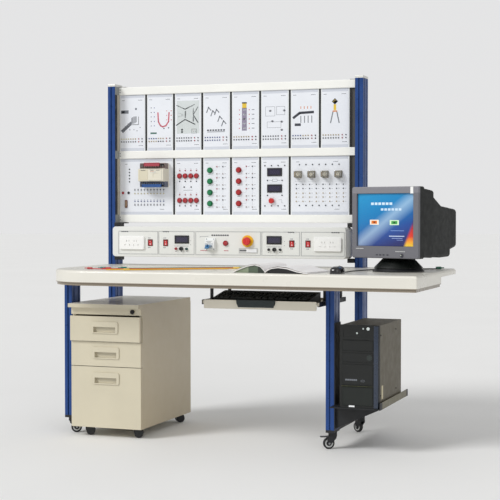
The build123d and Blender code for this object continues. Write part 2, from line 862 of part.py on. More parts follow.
def drawer(level, height, drop, tall):
    left, right = pedestal_left, pedestal_left + pedestal_width
    front = pedestal_front
    face = block((left, right), (front, front + drawer_face), (level, level + height - drawer_joint))
    face = fillet(face.edges().filter_by(Axis.Z).group_by(Axis.Y)[0], 2)
    x, z = (left + right) / 2, level + height - drop
    hw, hh = handle_size[0] / 2, handle_size[1] / 2
    frame = block((x - hw, x + hw), (front - handle_raise, front), (z - hh, z + hh))
    frame = fillet(frame.edges().filter_by(Axis.Y), 9)
    pw, ph, pd = handle_pocket
    pocket = block((x - pw / 2, x + pw / 2), (front - handle_raise - 1, front + pd), (z - hh + 5, z - hh + 5 + ph))
    lip = block((x - pw / 2, x + pw / 2), (front - 1, front + pd), (z - hh + 5, z + hh - 7))
    pocket += lip
    face = face + frame - pocket
    box_left = left + pedestal_wall + drawer_side_gap
    box_right = right - pedestal_wall - drawer_side_gap
    back = pedestal_front + pedestal_depth - pedestal_wall - drawer_back_gap
    z0 = level + drawer_box_lift
    tub = block((box_left, box_right), (front + drawer_face, back), (z0, z0 + tall))
    tub -= block((box_left + drawer_sheet, box_right - drawer_sheet),
                 (front + drawer_face + drawer_sheet, back - drawer_sheet), (z0 + drawer_sheet, z0 + tall + 1))
    return face + tub


def caster_places():
    for left, front in ((frame_left, leg_front), (bay_right, leg_front), (bay_right, post_front),
                        (frame_left, post_front)):
        yield left + post_width / 2, front + post_depth / 2


def caster_fork(x, y, turn, braked):
    top = base_height - joint_gap
    half = wheel_width / 2 + wheel_gap
    low = wheel_radius * 2 + wheel_gap * 3
    high = low + crown_thickness
    head = Pos(0, 0, high - 1) * Cylinder(fork_head, top - high + 1, align=(Align.CENTER, Align.CENTER, Align.MIN))
    crown = block((-half - fork_arm, half + fork_arm), (-fork_head + 4, fork_trail + fork_reach), (low, high))
    fork = head + crown
    side = [(-fork_head + 4, high), (-fork_head + 6, low - 6), (fork_trail - 9, wheel_radius - 3),
            (fork_trail, wheel_radius - 9), (fork_trail + fork_reach, wheel_radius - 3),
            (fork_trail + fork_reach, high)]
    for start in (-half - fork_arm, half):
        plane = Plane(origin=(start, 0, 0), x_dir=(0, 1, 0), z_dir=(1, 0, 0))
        fork += extrude(plane * make_face(Polyline(*side, close=True)), fork_arm)
    fork += rod((-half - 1, fork_trail, wheel_radius), (half + 1, fork_trail, wheel_radius), axle_radius)
    if braked:
        start = fork_trail + fork_reach - 1
        fork += block((-half, half), (start, start + brake_reach), (low, high))
    return Pos(x, y, 0) * Rot(0, 0, turn) * fork


def caster_wheel(x, y, turn):
    half = wheel_width / 2
    outline = [(axle_radius + joint_gap, half), (wheel_radius * 0.42, half), (wheel_radius * 0.5, half - 3),
               (wheel_radius * 0.7, half - 3), (wheel_radius * 0.78, half), (wheel_radius - 3, half),
               (wheel_radius, half - 5)]
    outline += [(r, -h) for r, h in reversed(outline)]
    face = make_face(Polyline(*outline, close=True))
    wheel = Rot(0, 90, 0) * revolve(Plane.XZ * face, Axis.Z)
    return Pos(x, y, 0) * Rot(0, 0, turn) * Pos(0, fork_trail, wheel_radius) * wheel


def small_caster(x, y, turn):
    half = small_hub / 2
    z = small_wheel
    reach = half + small_wheel_width
    caster = rod((-reach, small_trail, z), (reach, small_trail, z), small_wheel)
    gap = rod((-half, small_trail, z), (half, small_trail, z), small_wheel + 1)
    caster -= gap
    hub = rod((-half - 1, small_trail, z), (half + 1, small_trail, z), small_wheel - 8)
    hood = rod((-half - 1, small_trail, z), (half + 1, small_trail, z), small_wheel + hood_gap)
    hood -= block((-40, 40), (-60, 60), (-10, z + 2))
    stem = Pos(0, 0, z + 6) * Cylinder(7, pedestal_bottom - joint_gap - z - 6,
                                       align=(Align.CENTER, Align.CENTER, Align.MIN))
    bridge = block((-half, half), (-7, small_trail), (z + 4, z + 16))
    return Pos(x, y, 0) * Rot(0, 0, turn) * (caster + hub + hood + stem + bridge)


def small_caster_places():
    left, right = pedestal_left + small_inset, pedestal_left + pedestal_width - small_inset
    front, back = pedestal_front + small_inset, pedestal_front + pedestal_depth - small_inset
    return (left, front), (right, front), (right, back), (left, back)


def mouse():
    w, d, h = mouse_size
    x, y = mouse_centre
    base = Pos(x, y, desk_height) * extrude(Ellipse(w / 2, d / 2), h)
    hump = Pos(x, y + 6, desk_height - 46) * Sphere(80)
    shell = base & hump
    return shell - block((x - 40, x + 40), (y - 70, y + 70), (desk_height - 50, desk_height))


red_route = ((-690, -256), (-639, -262), (-586, -259), (-525, -249), (-471, -228), (-419, -187), (-369, -149),
             (-308, -110), (-255, -71), (-200, -30), (-150, -1), (-109, 23), (-84, 20), (-62, 32), (-64, 52),
             (-88, 58), (-112, 50), (-147, 31), (-196, -6), (-251, -37), (-297, -67), (-347, -104), (-402, -139),
             (-453, -177), (-503, -208), (-546, -222), (-604, -230))
green_route = ((-650, -194), (-599, -197), (-542, -188), (-492, -169), (-436, -140), (-386, -102), (-337, -58),
               (-277, -23), (-226, 11), (-176, 39), (-120, 70), (-84, 94), (-58, 92), (-37, 104), (-40, 125),
               (-64, 131), (-88, 122), (-129, 103), (-181, 67), (-238, 34), (-293, -2), (-341, -38), (-397, -71),
               (-454, -113), (-508, -146), (-557, -159))
yellow_route = ((-468, -318), (-415, -278), (-364, -238), (-316, -206), (-263, -160), (-216, -125), (-163, -95),
                (-124, -71), (-100, -63), (-84, -45), (-93, -29), (-117, -33), (-136, -50), (-172, -77),
                (-233, -108), (-288, -146), (-343, -188), (-392, -234), (-452, -274), (-502, -301), (-541, -318),
                (-566, -326), (-589, -317), (-591, -294), (-568, -282), (-543, -287), (-503, -275), (-448, -239),
                (-400, -198), (-347, -162), (-294, -125), (-236, -87), (-181, -55), (-130, -18), (-78, -3))
mouse_route = ((520, -246), (521, -208), (529, -160), (522, -108), (533, -55), (547, -4), (556, 50), (566, 104),
               (588, 156), (628, 196), (680, 216), (733, 238), (781, 264), (826, 296))


def lead_path(route, height):
    points = [Vector(x * loose_scale, y, height) for x, y in route]
    radii = []
    for a, b, c in zip(points, points[1:], points[2:]):
        before, after = b - a, c - b
        half_turn = before.get_angle(after) / 2
        reach = 0.45 * min(before.length, after.length)
        radii.append(reach / abs(sin(radians(half_turn)) / cos(radians(half_turn))))
    return points, radii


def lead(name, route, radius):
    points, radii = lead_path(route, desk_height + radius + lead_gap)
    path = FilletPolyline(*points, radius=radii)
    start = Plane(origin=points[0], z_dir=points[1] - points[0])
    tube = sweep(start * Circle(radius), path=path)
    print(name, "length", round(path.length), "least radius", round(min(radii)))
    return tube


def plug(route, at_start, radius, length):
    end, before = (route[0], route[1]) if at_start else (route[-1], route[-2])
    away = Vector((end[0] - before[0]) * loose_scale, end[1] - before[1]).normalized()
    start = Vector(end[0] * loose_scale, end[1], desk_height + radius)
    neck = start + away * (length * 0.62)
    return rod(start, neck, radius) + rod(neck - away, start + away * length, radius * 0.45)


def lead_plugs():
    solids = []
    for route in (red_route, green_route, yellow_route):
        for at_start in (True, False):
            solids.append(plug(route, at_start, plug_radius, plug_length))
    solids.append(plug(mouse_route, False, mouse_plug_radius, mouse_plug_length))
    return group(solids)


def manual():
    over = [*book_left, *book_right]
    under = [(x, height - book_sheet) for x, height in reversed(over)]
    pages = extrude(Plane.XZ * make_face(Polyline(*over, *under, close=True)), -book_depth)
    return Pos(book_spine[0] * loose_scale, book_spine[1], desk_height) * Rot(0, 0, book_turn) * pages


def build():
    nodes = {
        "desk_top": desk_top(), "frame_posts": frame_posts(), "base_plates": base_plates(),
        "panel_rails": panel_rails(), "post_brackets": post_brackets(), "module_panels": module_panels(),
        "plc_controller": plc_controller(), "indicator_lamps": indicator_lamps(), "relays": relays(),
        "test_knob": test_knob(), "console_case": console_case(), "console_fascia": console_fascia(),
        "outlet_plates": outlet_plates(), "breaker_body": breaker_body(), "breaker_toggle": breaker_toggle(),
        "stop_button_head": stop_button(), "tray_runners": tray_runners(), "keyboard_tray": keyboard_tray(),
        "wrist_rest": wrist_rest(), "keyboard": keyboard(), "cpu_holder": cpu_holder(), "pc_tower": pc_tower(),
        "monitor_foot": monitor_foot(), "monitor_case": monitor_case(), "monitor_screen": monitor_screen(),
        "pedestal_body": pedestal_body(), "mouse": mouse(), "manual": manual(), "lead_plugs": lead_plugs(),
        "red_lead": lead("red_lead", red_route, lead_radius),
        "green_lead": lead("green_lead", green_route, lead_radius),
        "yellow_lead": lead("yellow_lead", yellow_route, lead_radius),
        "mouse_lead": lead("mouse_lead", mouse_route, mouse_lead_radius),
    }
    for k, (x_start, z_start, x_stop, z_stop) in enumerate(button_places(), 1):
        nodes[f"start_button_{k}"] = push_button(x_start, z_start)
        nodes[f"stop_button_{k}"] = push_button(x_stop, z_stop)
    for k, x in enumerate(rocker_centres, 1):
        nodes[f"rocker_{k}"] = rocker(x)
    names = ("file_drawer", "middle_drawer", "top_drawer")
    for name, (level, height), drop, tall in zip(names, drawer_bottoms(), handle_drop, drawer_box_share):
        nodes[name] = drawer(level, height, drop, tall)
    nodes["top_drawer"] = Pos(0, -drawer_ajar, 0) * nodes["top_drawer"]
    for k, ((x, y), turn) in enumerate(zip(caster_places(), fork_turns), 1):
        nodes[f"caster_fork_{k}"] = caster_fork(x, y, turn, k == 2)
        nodes[f"caster_wheel_{k}"] = caster_wheel(x, y, turn)
    for k, ((x, y), turn) in enumerate(zip(small_caster_places(), small_turns), 1):
        nodes[f"pedestal_caster_{k}"] = small_caster(x, y, turn)
    return nodes


os.makedirs("parts", exist_ok=True)
for name, shape in build().items():
    export_step(shape, f"parts/{name}.step")
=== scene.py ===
import bpy
from math import atan2, cos, hypot, pi, radians, sin
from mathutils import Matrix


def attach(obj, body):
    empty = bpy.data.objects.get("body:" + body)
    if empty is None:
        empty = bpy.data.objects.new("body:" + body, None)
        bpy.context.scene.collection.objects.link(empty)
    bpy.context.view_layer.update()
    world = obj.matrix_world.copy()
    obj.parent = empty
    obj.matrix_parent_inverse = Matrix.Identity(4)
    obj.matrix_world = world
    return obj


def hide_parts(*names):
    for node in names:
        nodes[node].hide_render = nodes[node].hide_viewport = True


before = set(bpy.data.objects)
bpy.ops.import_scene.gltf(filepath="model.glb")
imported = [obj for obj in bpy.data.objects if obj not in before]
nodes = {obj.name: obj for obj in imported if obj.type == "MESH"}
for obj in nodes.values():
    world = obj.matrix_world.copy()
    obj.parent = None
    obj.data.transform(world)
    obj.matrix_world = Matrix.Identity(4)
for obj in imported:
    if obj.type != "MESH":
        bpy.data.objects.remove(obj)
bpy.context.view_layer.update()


def tint(code):
    parts = [int(code[k:k + 2], 16) / 255 for k in (0, 2, 4)]
    return [c / 12.92 if c <= 0.04045 else ((c + 0.055) / 1.055) ** 2.4 for c in parts] + [1]


# Camera, solved from the photo's straight edges
view = {"place": (2.1513, -5.8317, 1.0685), "down": 1.64986, "turn": 20.2036, "lens": 95.4446, "sensor": 36}
bpy.ops.object.camera_add(location=view["place"],
                          rotation=(radians(90 - view["down"]), 0, radians(view["turn"])))
camera = bpy.context.object
camera.data.sensor_width = view["sensor"]
camera.data.lens = view["lens"]
camera.data.clip_end = 200
bpy.context.scene.camera = camera
bpy.context.scene.view_settings.view_transform = "Standard"
xAxis, yAxis, zAxis = (1, 0, 0), (0, 1, 0), (0, 0, 1)


# Finishes
def startFinish(name):
    mat = bpy.data.materials.new(name)
    mat.use_nodes = True
    tree = mat.node_tree
    coords = tree.nodes.new("ShaderNodeTexCoord")
    return mat, tree, tree.nodes["Principled BSDF"], coords.outputs["Object"]


def noise(tree, coords, scale, detail=3):
    node = tree.nodes.new("ShaderNodeTexNoise")
    node.inputs["Scale"].default_value = scale
    node.inputs["Detail"].default_value = detail
    tree.links.new(coords, node.inputs["Vector"])
    return node.outputs["Fac"]


def remap(tree, value, low, high, toLow=0.0, toHigh=1.0):
    node = tree.nodes.new("ShaderNodeMapRange")
    for name, number in (("From Min", low), ("From Max", high), ("To Min", toLow), ("To Max", toHigh)):
        node.inputs[name].default_value = number
    tree.links.new(value, node.inputs["Value"])
    return node.outputs["Result"]


def blendColours(tree, factor, first, second):
    node = tree.nodes.new("ShaderNodeMix")
    node.data_type = "RGBA"
    tree.links.new(factor, node.inputs[0])
    for slot, colour in ((6, first), (7, second)):
        if isinstance(colour, list):
            node.inputs[slot].default_value = colour
        else:
            tree.links.new(colour, node.inputs[slot])
    return node.outputs[2]


def combine(tree, kind, operation, first, second):
    node = tree.nodes.new("ShaderNode" + kind)
    node.operation = operation
    for slot, value in enumerate((first, second)):
        if isinstance(value, (int, float, tuple)):
            node.inputs[slot].default_value = value
        else:
            tree.links.new(value, node.inputs[slot])
    return node


def times(tree, first, second):
    return combine(tree, "Math", "MULTIPLY", first, second).outputs[0]


def between(tree, value, low, high):
    steps = [combine(tree, "Math", operation, value, edge).outputs[0]
             for operation, edge in (("GREATER_THAN", low), ("LESS_THAN", high))]
    return times(tree, *steps)


def along(tree, coords, direction):
    return combine(tree, "VectorMath", "DOT_PRODUCT", coords, direction).outputs["Value"]


# each zone is a list of (direction, low, high) bands, coloured where they all overlap, and its colour
def finish(name, code, rough=0.45, metal=0.0, grain=900, bump=0.1, patch=7, vary=0.06, spread=0.1, coat=0.0,
           worn=None, zones=(), through=0.0):
    mat, tree, shader, coords = startFinish(name)
    base = tint(code)
    patches = remap(tree, noise(tree, coords, patch, 5), 0.3, 0.7)
    dark = [c * (1 - vary) for c in base[:3]] + [1]
    light = [min(1, c * (1 + vary)) for c in base[:3]] + [1]
    colour = blendColours(tree, patches, dark, light)
    for bands, zoneCode in zones:
        mask = None
        for direction, low, high in bands:
            part = between(tree, along(tree, coords, direction), low, high)
            mask = part if mask is None else times(tree, mask, part)
        colour = blendColours(tree, mask, colour, tint(zoneCode))
    # edges take the edge tone in noisy patches; on the blue posts this lighter blue is painted highlight
    if worn:
        edge = tree.nodes.new("ShaderNodeBevel")
        edge.samples = 4
        edge.inputs["Radius"].default_value = 0.0012
        normal = tree.nodes.new("ShaderNodeNewGeometry")
        turn = along(tree, edge.outputs["Normal"], normal.outputs["Normal"])
        edgeSpots = times(tree, remap(tree, turn, 0.97, 0.8, 0, 0.75),
                       remap(tree, noise(tree, coords, 60, 4), 0.4, 0.6))
        colour = blendColours(tree, edgeSpots, colour, tint(worn))
    tree.links.new(colour, shader.inputs["Base Color"])
    shader.inputs["Metallic"].default_value = metal
    roughness = remap(tree, noise(tree, coords, patch * 3.3, 4), 0.25, 0.75, max(0.03, rough - spread),
                      min(1, rough + spread))
    tree.links.new(roughness, shader.inputs["Roughness"])
    if coat:
        shader.inputs["Coat Weight"].default_value = coat
        shader.inputs["Coat Roughness"].default_value = 0.08
    if through:
        shader.inputs["Transmission Weight"].default_value = through
    relief = tree.nodes.new("ShaderNodeBump")
    relief.inputs["Strength"].default_value = bump
    relief.inputs["Distance"].default_value = 0.0006
    tree.links.new(noise(tree, coords, grain, 2), relief.inputs["Height"])
    tree.links.new(relief.outputs["Normal"], shader.inputs["Normal"])
    return mat


def dress(names, finishName, code, **look):
    mat = finish(finishName, code, **look)
    for name in names:
        nodes[name].data.materials.clear()
        nodes[name].data.materials.append(mat)


# Modelling helpers
def only(obj):
    bpy.ops.object.select_all(action="DESELECT")
    obj.select_set(True)
    bpy.context.view_layer.objects.active = obj


def settle(obj):
    only(obj)
    bpy.ops.object.transform_apply(location=True, rotation=True, scale=True)
    return obj


def join(parts):
    only(parts[0])
    for part in parts:
        part.select_set(True)
    if len(parts) > 1:
        bpy.ops.object.join()
    return settle(bpy.context.object)


def twinOf(shape, place=(0, 0, 0), turn=(0, 0, 0), size=(1, 1, 1)):
    twin = shape.copy()
    twin.data = shape.data.copy()
    bpy.context.collection.objects.link(twin)
    twin.location = place
    twin.rotation_euler = turn
    twin.scale = size
    return twin


def scrap(*shapes):
    for shape in shapes:
        bpy.data.objects.remove(shape)


# one shape, or a list of shapes to join, becomes a piece in a ready finish or in a colour of its own
def wear(made, name, mat, body="bench", **look):
    obj = join(made) if isinstance(made, list) else settle(made)
    if isinstance(mat, str):
        mat = finish(name, mat, **look)
    obj.name = name
    obj.data.name = name
    obj.data.materials.clear()
    obj.data.materials.append(mat)
    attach(obj, body)
    return obj


def editAll(obj, mode="FACE"):
    only(obj)
    bpy.ops.object.mode_set(mode="EDIT")
    bpy.ops.mesh.select_mode(type=mode)
    bpy.ops.mesh.select_all(action="SELECT")


def leaveEdit():
    bpy.ops.object.mode_set(mode="OBJECT")


def extrude(*move):
    bpy.ops.mesh.extrude_region_move(TRANSFORM_OT_translate={"value": move})


def fixNormals(obj):
    editAll(obj)
    bpy.ops.mesh.normals_make_consistent(inside=False)
    leaveEdit()


def smooth(obj, angle=35):
    only(obj)
    bpy.ops.object.shade_smooth_by_angle(angle=radians(angle))


def slab(x, y, z, round=0.0, steps=2):
    bpy.ops.mesh.primitive_cube_add(size=1)
    obj = bpy.context.object
    obj.location = ((x[0] + x[1]) / 2, (y[0] + y[1]) / 2, (z[0] + z[1]) / 2)
    obj.scale = (x[1] - x[0], y[1] - y[0], z[1] - z[0])
    settle(obj)
    if round:
        soften(obj, round, steps)
    return obj


def soften(obj, width, steps=2):
    only(obj)
    bevel = obj.modifiers.new("soften", "BEVEL")
    bevel.width = width
    bevel.segments = steps
    bevel.limit_method = "ANGLE"
    bpy.ops.object.modifier_apply(modifier="soften")
    smooth(obj)
    return obj


# discs and tubes stand with their axis along Y, front towards -Y
def drum(radius, depth, sides=24, place=(0, 0, 0)):
    x, y, z = place
    bpy.ops.mesh.primitive_cylinder_add(vertices=sides, radius=radius, depth=depth,
                                        rotation=(radians(90), 0, 0), location=(x, y + depth / 2, z))
    return settle(bpy.context.object)


def pickFront(obj):
    flats = [p for p in obj.data.polygons if p.normal.y < -0.9]
    front = min(flats, key=lambda p: p.center.y).index
    editAll(obj)
    bpy.ops.mesh.select_all(action="DESELECT")
    leaveEdit()
    obj.data.polygons[front].select = True
    bpy.ops.object.mode_set(mode="EDIT")


# steps are pairs of a rim, left round the front face, and how deep the rest goes in
def hollowFront(obj, *steps):
    pickFront(obj)
    for rim, deep in zip(steps[::2], steps[1::2]):
        bpy.ops.mesh.inset(thickness=rim)
        extrude(0, deep, 0)
    leaveEdit()
    return obj


# Patch leads and the mouse's lead
deskTop, leadLift = 0.8, 0.0002
leads = {
    "red": {"length": 1.351, "radius": 0.002, "route": (
        (-690, -256), (-639, -262), (-586, -259), (-525, -249), (-471, -228), (-419, -187), (-369, -149),
        (-308, -110), (-255, -71), (-200, -30), (-150, -1), (-109, 23), (-84, 20), (-62, 32), (-64, 52),
        (-88, 58), (-112, 50), (-147, 31), (-196, -6), (-251, -37), (-297, -67), (-347, -104), (-402, -139),
        (-453, -177), (-503, -208), (-546, -222), (-604, -230))},
    "green": {"length": 1.313, "radius": 0.002, "route": (
        (-650, -194), (-599, -197), (-542, -188), (-492, -169), (-436, -140), (-386, -102), (-337, -58),
        (-277, -23), (-226, 11), (-176, 39), (-120, 70), (-84, 94), (-58, 92), (-37, 104), (-40, 125),
        (-64, 131), (-88, 122), (-129, 103), (-181, 67), (-238, 34), (-293, -2), (-341, -38), (-397, -71),
        (-454, -113), (-508, -146), (-557, -159))},
    "yellow": {"length": 1.691, "radius": 0.002, "route": (
        (-468, -318), (-415, -278), (-364, -238), (-316, -206), (-263, -160), (-216, -125), (-163, -95),
        (-124, -71), (-100, -63), (-84, -45), (-93, -29), (-117, -33), (-136, -50), (-172, -77),
        (-233, -108), (-288, -146), (-343, -188), (-392, -234), (-452, -274), (-502, -301), (-541, -318),
        (-566, -326), (-589, -317), (-591, -294), (-568, -282), (-543, -287), (-503, -275), (-448, -239),
        (-400, -198), (-347, -162), (-294, -125), (-236, -87), (-181, -55), (-130, -18), (-78, -3))},
    "mouse": {"length": 0.689, "radius": 0.0022, "route": (
        (520, -246), (521, -208), (529, -160), (522, -108), (533, -55), (547, -4), (556, 50), (566, 104),
        (588, 156), (628, 196), (680, 216), (733, 238), (781, 264), (826, 296))},
}
leadFinish = {name: finish("lead" + name.capitalize(), code, rough=0.42, grain=1500, bump=0.05)
              for name, code in (("red", "c4232c"), ("green", "1f7a52"), ("yellow", "d9a52a"))}
leadFinish["mouse"] = finish("leadBlack", "16171a", rough=0.5, grain=1500, bump=0.08)


def layLead(name):
    info = leads[name]
    height = deskTop + info["radius"] + leadLift
    curve = bpy.data.curves.new(name + "Lead", "CURVE")
    curve.dimensions = "3D"
    spline = curve.splines.new("NURBS")
    spline.points.add(len(info["route"]) - 1)
    for point, (x, y) in zip(spline.points, info["route"]):
        point.co = (x / 1000, y / 1000, height, 1)
    spline.order_u = 3
    spline.use_endpoint_u = True
    spline.resolution_u = 8
    curve.bevel_depth = info["radius"]
    curve.bevel_resolution = 4
    curve.use_fill_caps = True
    obj = bpy.data.objects.new(name + "Lead", curve)
    bpy.context.collection.objects.link(obj)
    curve.materials.append(leadFinish[name])
    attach(obj, "bench")
    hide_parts(name + "_lead")
    return obj


# Moulded plugs: a sleeve with five ribs and a narrower nose in front, as (radius, length)
plugSize = {"patch": (0.0045, 0.042), "mouse": (0.006, 0.04)}
plugFinish = {name: finish("plug" + name.capitalize(), code, rough=0.3, coat=0.3, grain=1200)
              for name, code in (("red", "b8161f"), ("green", "0d6f66"), ("yellow", "e8c35a"))}
plugFinish["mouse"] = finish("plugSea", "1a6a52", rough=0.35, coat=0.2, grain=1200)


def plugShape(radius, length):
    body = drum(radius * 0.98, length * 0.62, 20, (0, length * 0.38, 0))
    hollowFront(body, radius * 0.35, -length * 0.05, radius * 0.2, -length * 0.33)
    soften(body, 0.0004, 1)
    ribs = [drum(radius, 0.0012, 20, (0, length * 0.44 + k * length * 0.075, 0)) for k in range(5)]
    return join([body] + [soften(rib, 0.0003, 1) for rib in ribs])


plugs = {kind: plugShape(*size) for kind, size in plugSize.items()}
plugsMade = []
for leadName, info in leads.items():
    route = info["route"]
    kind = "mouse" if leadName == "mouse" else "patch"
    radius, length = plugSize[kind]
    made = []
    # the mouse's lead starts in the mouse, so it has a plug at its far end only
    ends = [(route[-1], route[-2])] if kind == "mouse" else [(route[0], route[1]), (route[-1], route[-2])]
    for k, ((x, y), (bx, by)) in enumerate(ends, 1):
        heading = atan2(y - by, x - bx)
        # the nose points away from the lead, so the plug's back sits on the lead's end
        place = (x / 1000 + cos(heading) * length, y / 1000 + sin(heading) * length, deskTop + radius)
        twin = twinOf(plugs[kind], place, (0, 0, heading + pi / 2))
        made.append(wear(twin, f"{leadName}Plug{k}", plugFinish[leadName]))
    cord = layLead(leadName)
    x, y = route[0]
    plugsMade += made
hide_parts("lead_plugs")
scrap(*plugs.values())
print("leads laid")

# Finishes of the CAD nodes that stay
four = range(1, 5)
rockerSpots = (-0.616, -0.532, 0.132, 0.214)
displaySpots = (-0.444, 0.042)
fasciaFace = (yAxis, 0.2, 0.2399)
plateFace = (yAxis, 0.2, 0.3702)
controllerBack = (yAxis, 0.3178, 0.36)
caseRear = ((sin(radians(20)), cos(radians(20)), 0), -0.2, 0.1432)
# the brown-grey band low on the front edge (z 0.72 to 0.7455) is painted shade under the rounded top edge
dress(["desk_top"], "deskLaminateWithShadeLine", "dfdcd2", rough=0.32, grain=420, bump=0.05, patch=3, vary=0.03, coat=0.15,
      zones=[([(zAxis, 0.72, 0.7455)], "8a7f6f")])
# the lighter blue laid on the posts' edges is painted highlight
dress(["frame_posts"], "anodisedBlueLitEdges", "1f4585", rough=0.34, metal=0.35, grain=240, bump=0.08, patch=14,
      vary=0.08, worn="5f7fb0", zones=[([(zAxis, 1.7095, 2)], "e6e5df")])
dress(["base_plates", "tray_runners"], "blackSteel", "1b1c1f", rough=0.5, grain=700, bump=0.14, patch=11,
      vary=0.12, worn="4a4c50")
dress(["cpu_holder"], "shelfBlack", "15171a", rough=0.5, grain=700, bump=0.14, patch=11, vary=0.12,
      worn="3c3e42", zones=[([(xAxis, 0.6928, 0.6975), (yAxis, -0.2, 0.25)], "77725f")])
dress(["panel_rails", "console_case"], "ivorySteel", "f1f1ec", rough=0.36, grain=520, bump=0.06, patch=5,
      vary=0.025, worn="c9c8c2")
dress(["console_fascia"], "consoleFace", "e4e5e1", rough=0.38, grain=600, bump=0.05, patch=6, vary=0.02,
      zones=[
    *[([fasciaFace, (xAxis, x - 0.0135, x + 0.0135), (zAxis, 0.897, 0.931)], "561a1c") for x in rockerSpots],
    *[([fasciaFace, (xAxis, x - 0.04, x + 0.04), (zAxis, 0.91, 0.952)], "17171c") for x in displaySpots],
    ([fasciaFace, (xAxis, -0.126, -0.064), (zAxis, 0.894, 0.956)], "f0b81c")])
dress(["post_brackets"], "bracketBlack", "0b0c0e", rough=0.5, grain=600, bump=0.12, patch=20, vary=0.1,
      zones=[([(yAxis, 0.3, 0.3634), (zAxis, 1.0141, 1.8)], "8a8c88")])
dress(["module_panels"], "panelPlate", "e3e6e8", rough=0.5, grain=800, bump=0.04, patch=5, vary=0.02, zones=[
    ([(yAxis, 0.37335, 0.6)], "0c0d0f"), ([plateFace, (xAxis, -0.362, -0.328)], "0b6b3d"),
    ([plateFace, (xAxis, -0.207, -0.173)], "8c1a1c"), ([plateFace, (xAxis, -0.042, 0.04)], "17171c")])
dress(["plc_controller"], "controllerCream", "e0dbca", grain=700, bump=0.08, vary=0.03,
      worn="c4bda8", zones=[([controllerBack, (zAxis, 1.287, 1.32)], "7b6b66"),
                            ([controllerBack, (zAxis, 1.19, 1.223)], "5b6172")])
dress(["breaker_body"], "breakerWhite", "eef0ef", rough=0.34, bump=0.05, vary=0.02)
dress(["breaker_toggle"], "toggleBlue", "3d78a8", rough=0.3, coat=0.2)
dress(["stop_button_head"], "stopRed", "d0201c", rough=0.28, grain=700, coat=0.5, vary=0.05)
dress(["test_knob"], "knobRed", "c62824", rough=0.34, grain=700, coat=0.3)
dress([f"start_button_{k}" for k in four], "capGreen", "0f7a4a", rough=0.3, grain=700, coat=0.4)
dress([f"stop_button_{k}" for k in four], "capRed", "a81f24", rough=0.3, grain=700, coat=0.4)
dress([f"rocker_{k}" for k in four], "rockerRed", "cf1d22", rough=0.25, grain=700, coat=0.5)
dress(["outlet_plates"], "outletWhite", "f4f4f2", rough=0.3, bump=0.05, vary=0.015, coat=0.15)
dress(["keyboard_tray"], "trayIvory", "ece6d6", rough=0.4, grain=520, bump=0.07, patch=6, vary=0.03,
      worn="b9b7ae")
dress(["keyboard"], "keyboardBlack", "17181b", rough=0.55, bump=0.14, patch=15)
dress(["pc_tower"], "towerShell", "060a08", rough=0.55, grain=600, patch=9, vary=0.08, worn="2c332f",
      zones=[([(yAxis, -0.2059, 0.5)], "605a4b")])
dress(["monitor_foot"], "footBlack", "17181b", rough=0.4)
dress(["monitor_case"], "caseSlate", "070c0a", rough=0.6, grain=1100, bump=0.18, patch=12,
      zones=[([caseRear], "6c6c72"), ([caseRear, (zAxis, 1.152, 1.2)], "7f7e84")])
# the paler top (z above 0.6334) is painted highlight, and the tan right side (x above -0.4645) is painted
# shade
dress(["pedestal_body", "top_drawer", "middle_drawer", "file_drawer"], "pedestalBeigeLitAndShaded", "cdc5ae", rough=0.38,
      grain=560, bump=0.09, patch=6, vary=0.03, coat=0.25, worn="b3ad99",
      zones=[([(zAxis, 0.6334, 0.7)], "ebe8df"), ([(xAxis, -0.4645, -0.3), (zAxis, 0, 0.6334)], "c2b498")])
for k in four:
    dress([f"caster_fork_{k}"], f"forkSteel{k}", "1d1e21", rough=0.42, grain=800, metal=0.2, vary=0.1)
    dress([f"caster_wheel_{k}"], f"wheelRubber{k}", "1a1a1c", rough=0.6, bump=0.12)
    dress([f"pedestal_caster_{k}"], f"smallCaster{k}", "16171a")
dress(["indicator_lamps"], "lampRed", "a81c26", rough=0.22, grain=500, bump=0.2, vary=0.08, coat=0.5, zones=[
    ([(yAxis, 0.3645, 0.371)], "7e161c"), ([(yAxis, 0.2345, 0.241)], "7e161c")])
print("nodes dressed")

# Printed marks and the painted rail shadows: one raised tile and one disc, copied for every mark and joined
# by ink
plateFront = 0.3703
plateLeft = -0.847
platePitch = 0.155
plateWide = 0.144
rowTop = (1.668, 1.341)
rowTall = 0.287


def unitTile():
    bpy.ops.mesh.primitive_plane_add(size=1, rotation=(radians(90), 0, 0))
    tile = settle(bpy.context.object)
    editAll(tile)
    extrude(0, -0.0003, 0)
    bpy.ops.mesh.inset(thickness=0.02)
    bpy.ops.transform.translate(value=(0, -0.0001, 0))
    leaveEdit()
    fixNormals(tile)
    tile.name = "unitTile"
    return tile


def unitDisc(sides):
    disc = drum(1, 0.0003, sides, (0, -0.0003, 0))
    pickFront(disc)
    bpy.ops.mesh.inset(thickness=0.06)
    bpy.ops.transform.translate(value=(0, -0.0001, 0))
    leaveEdit()
    disc.name = "unitDisc"
    return disc


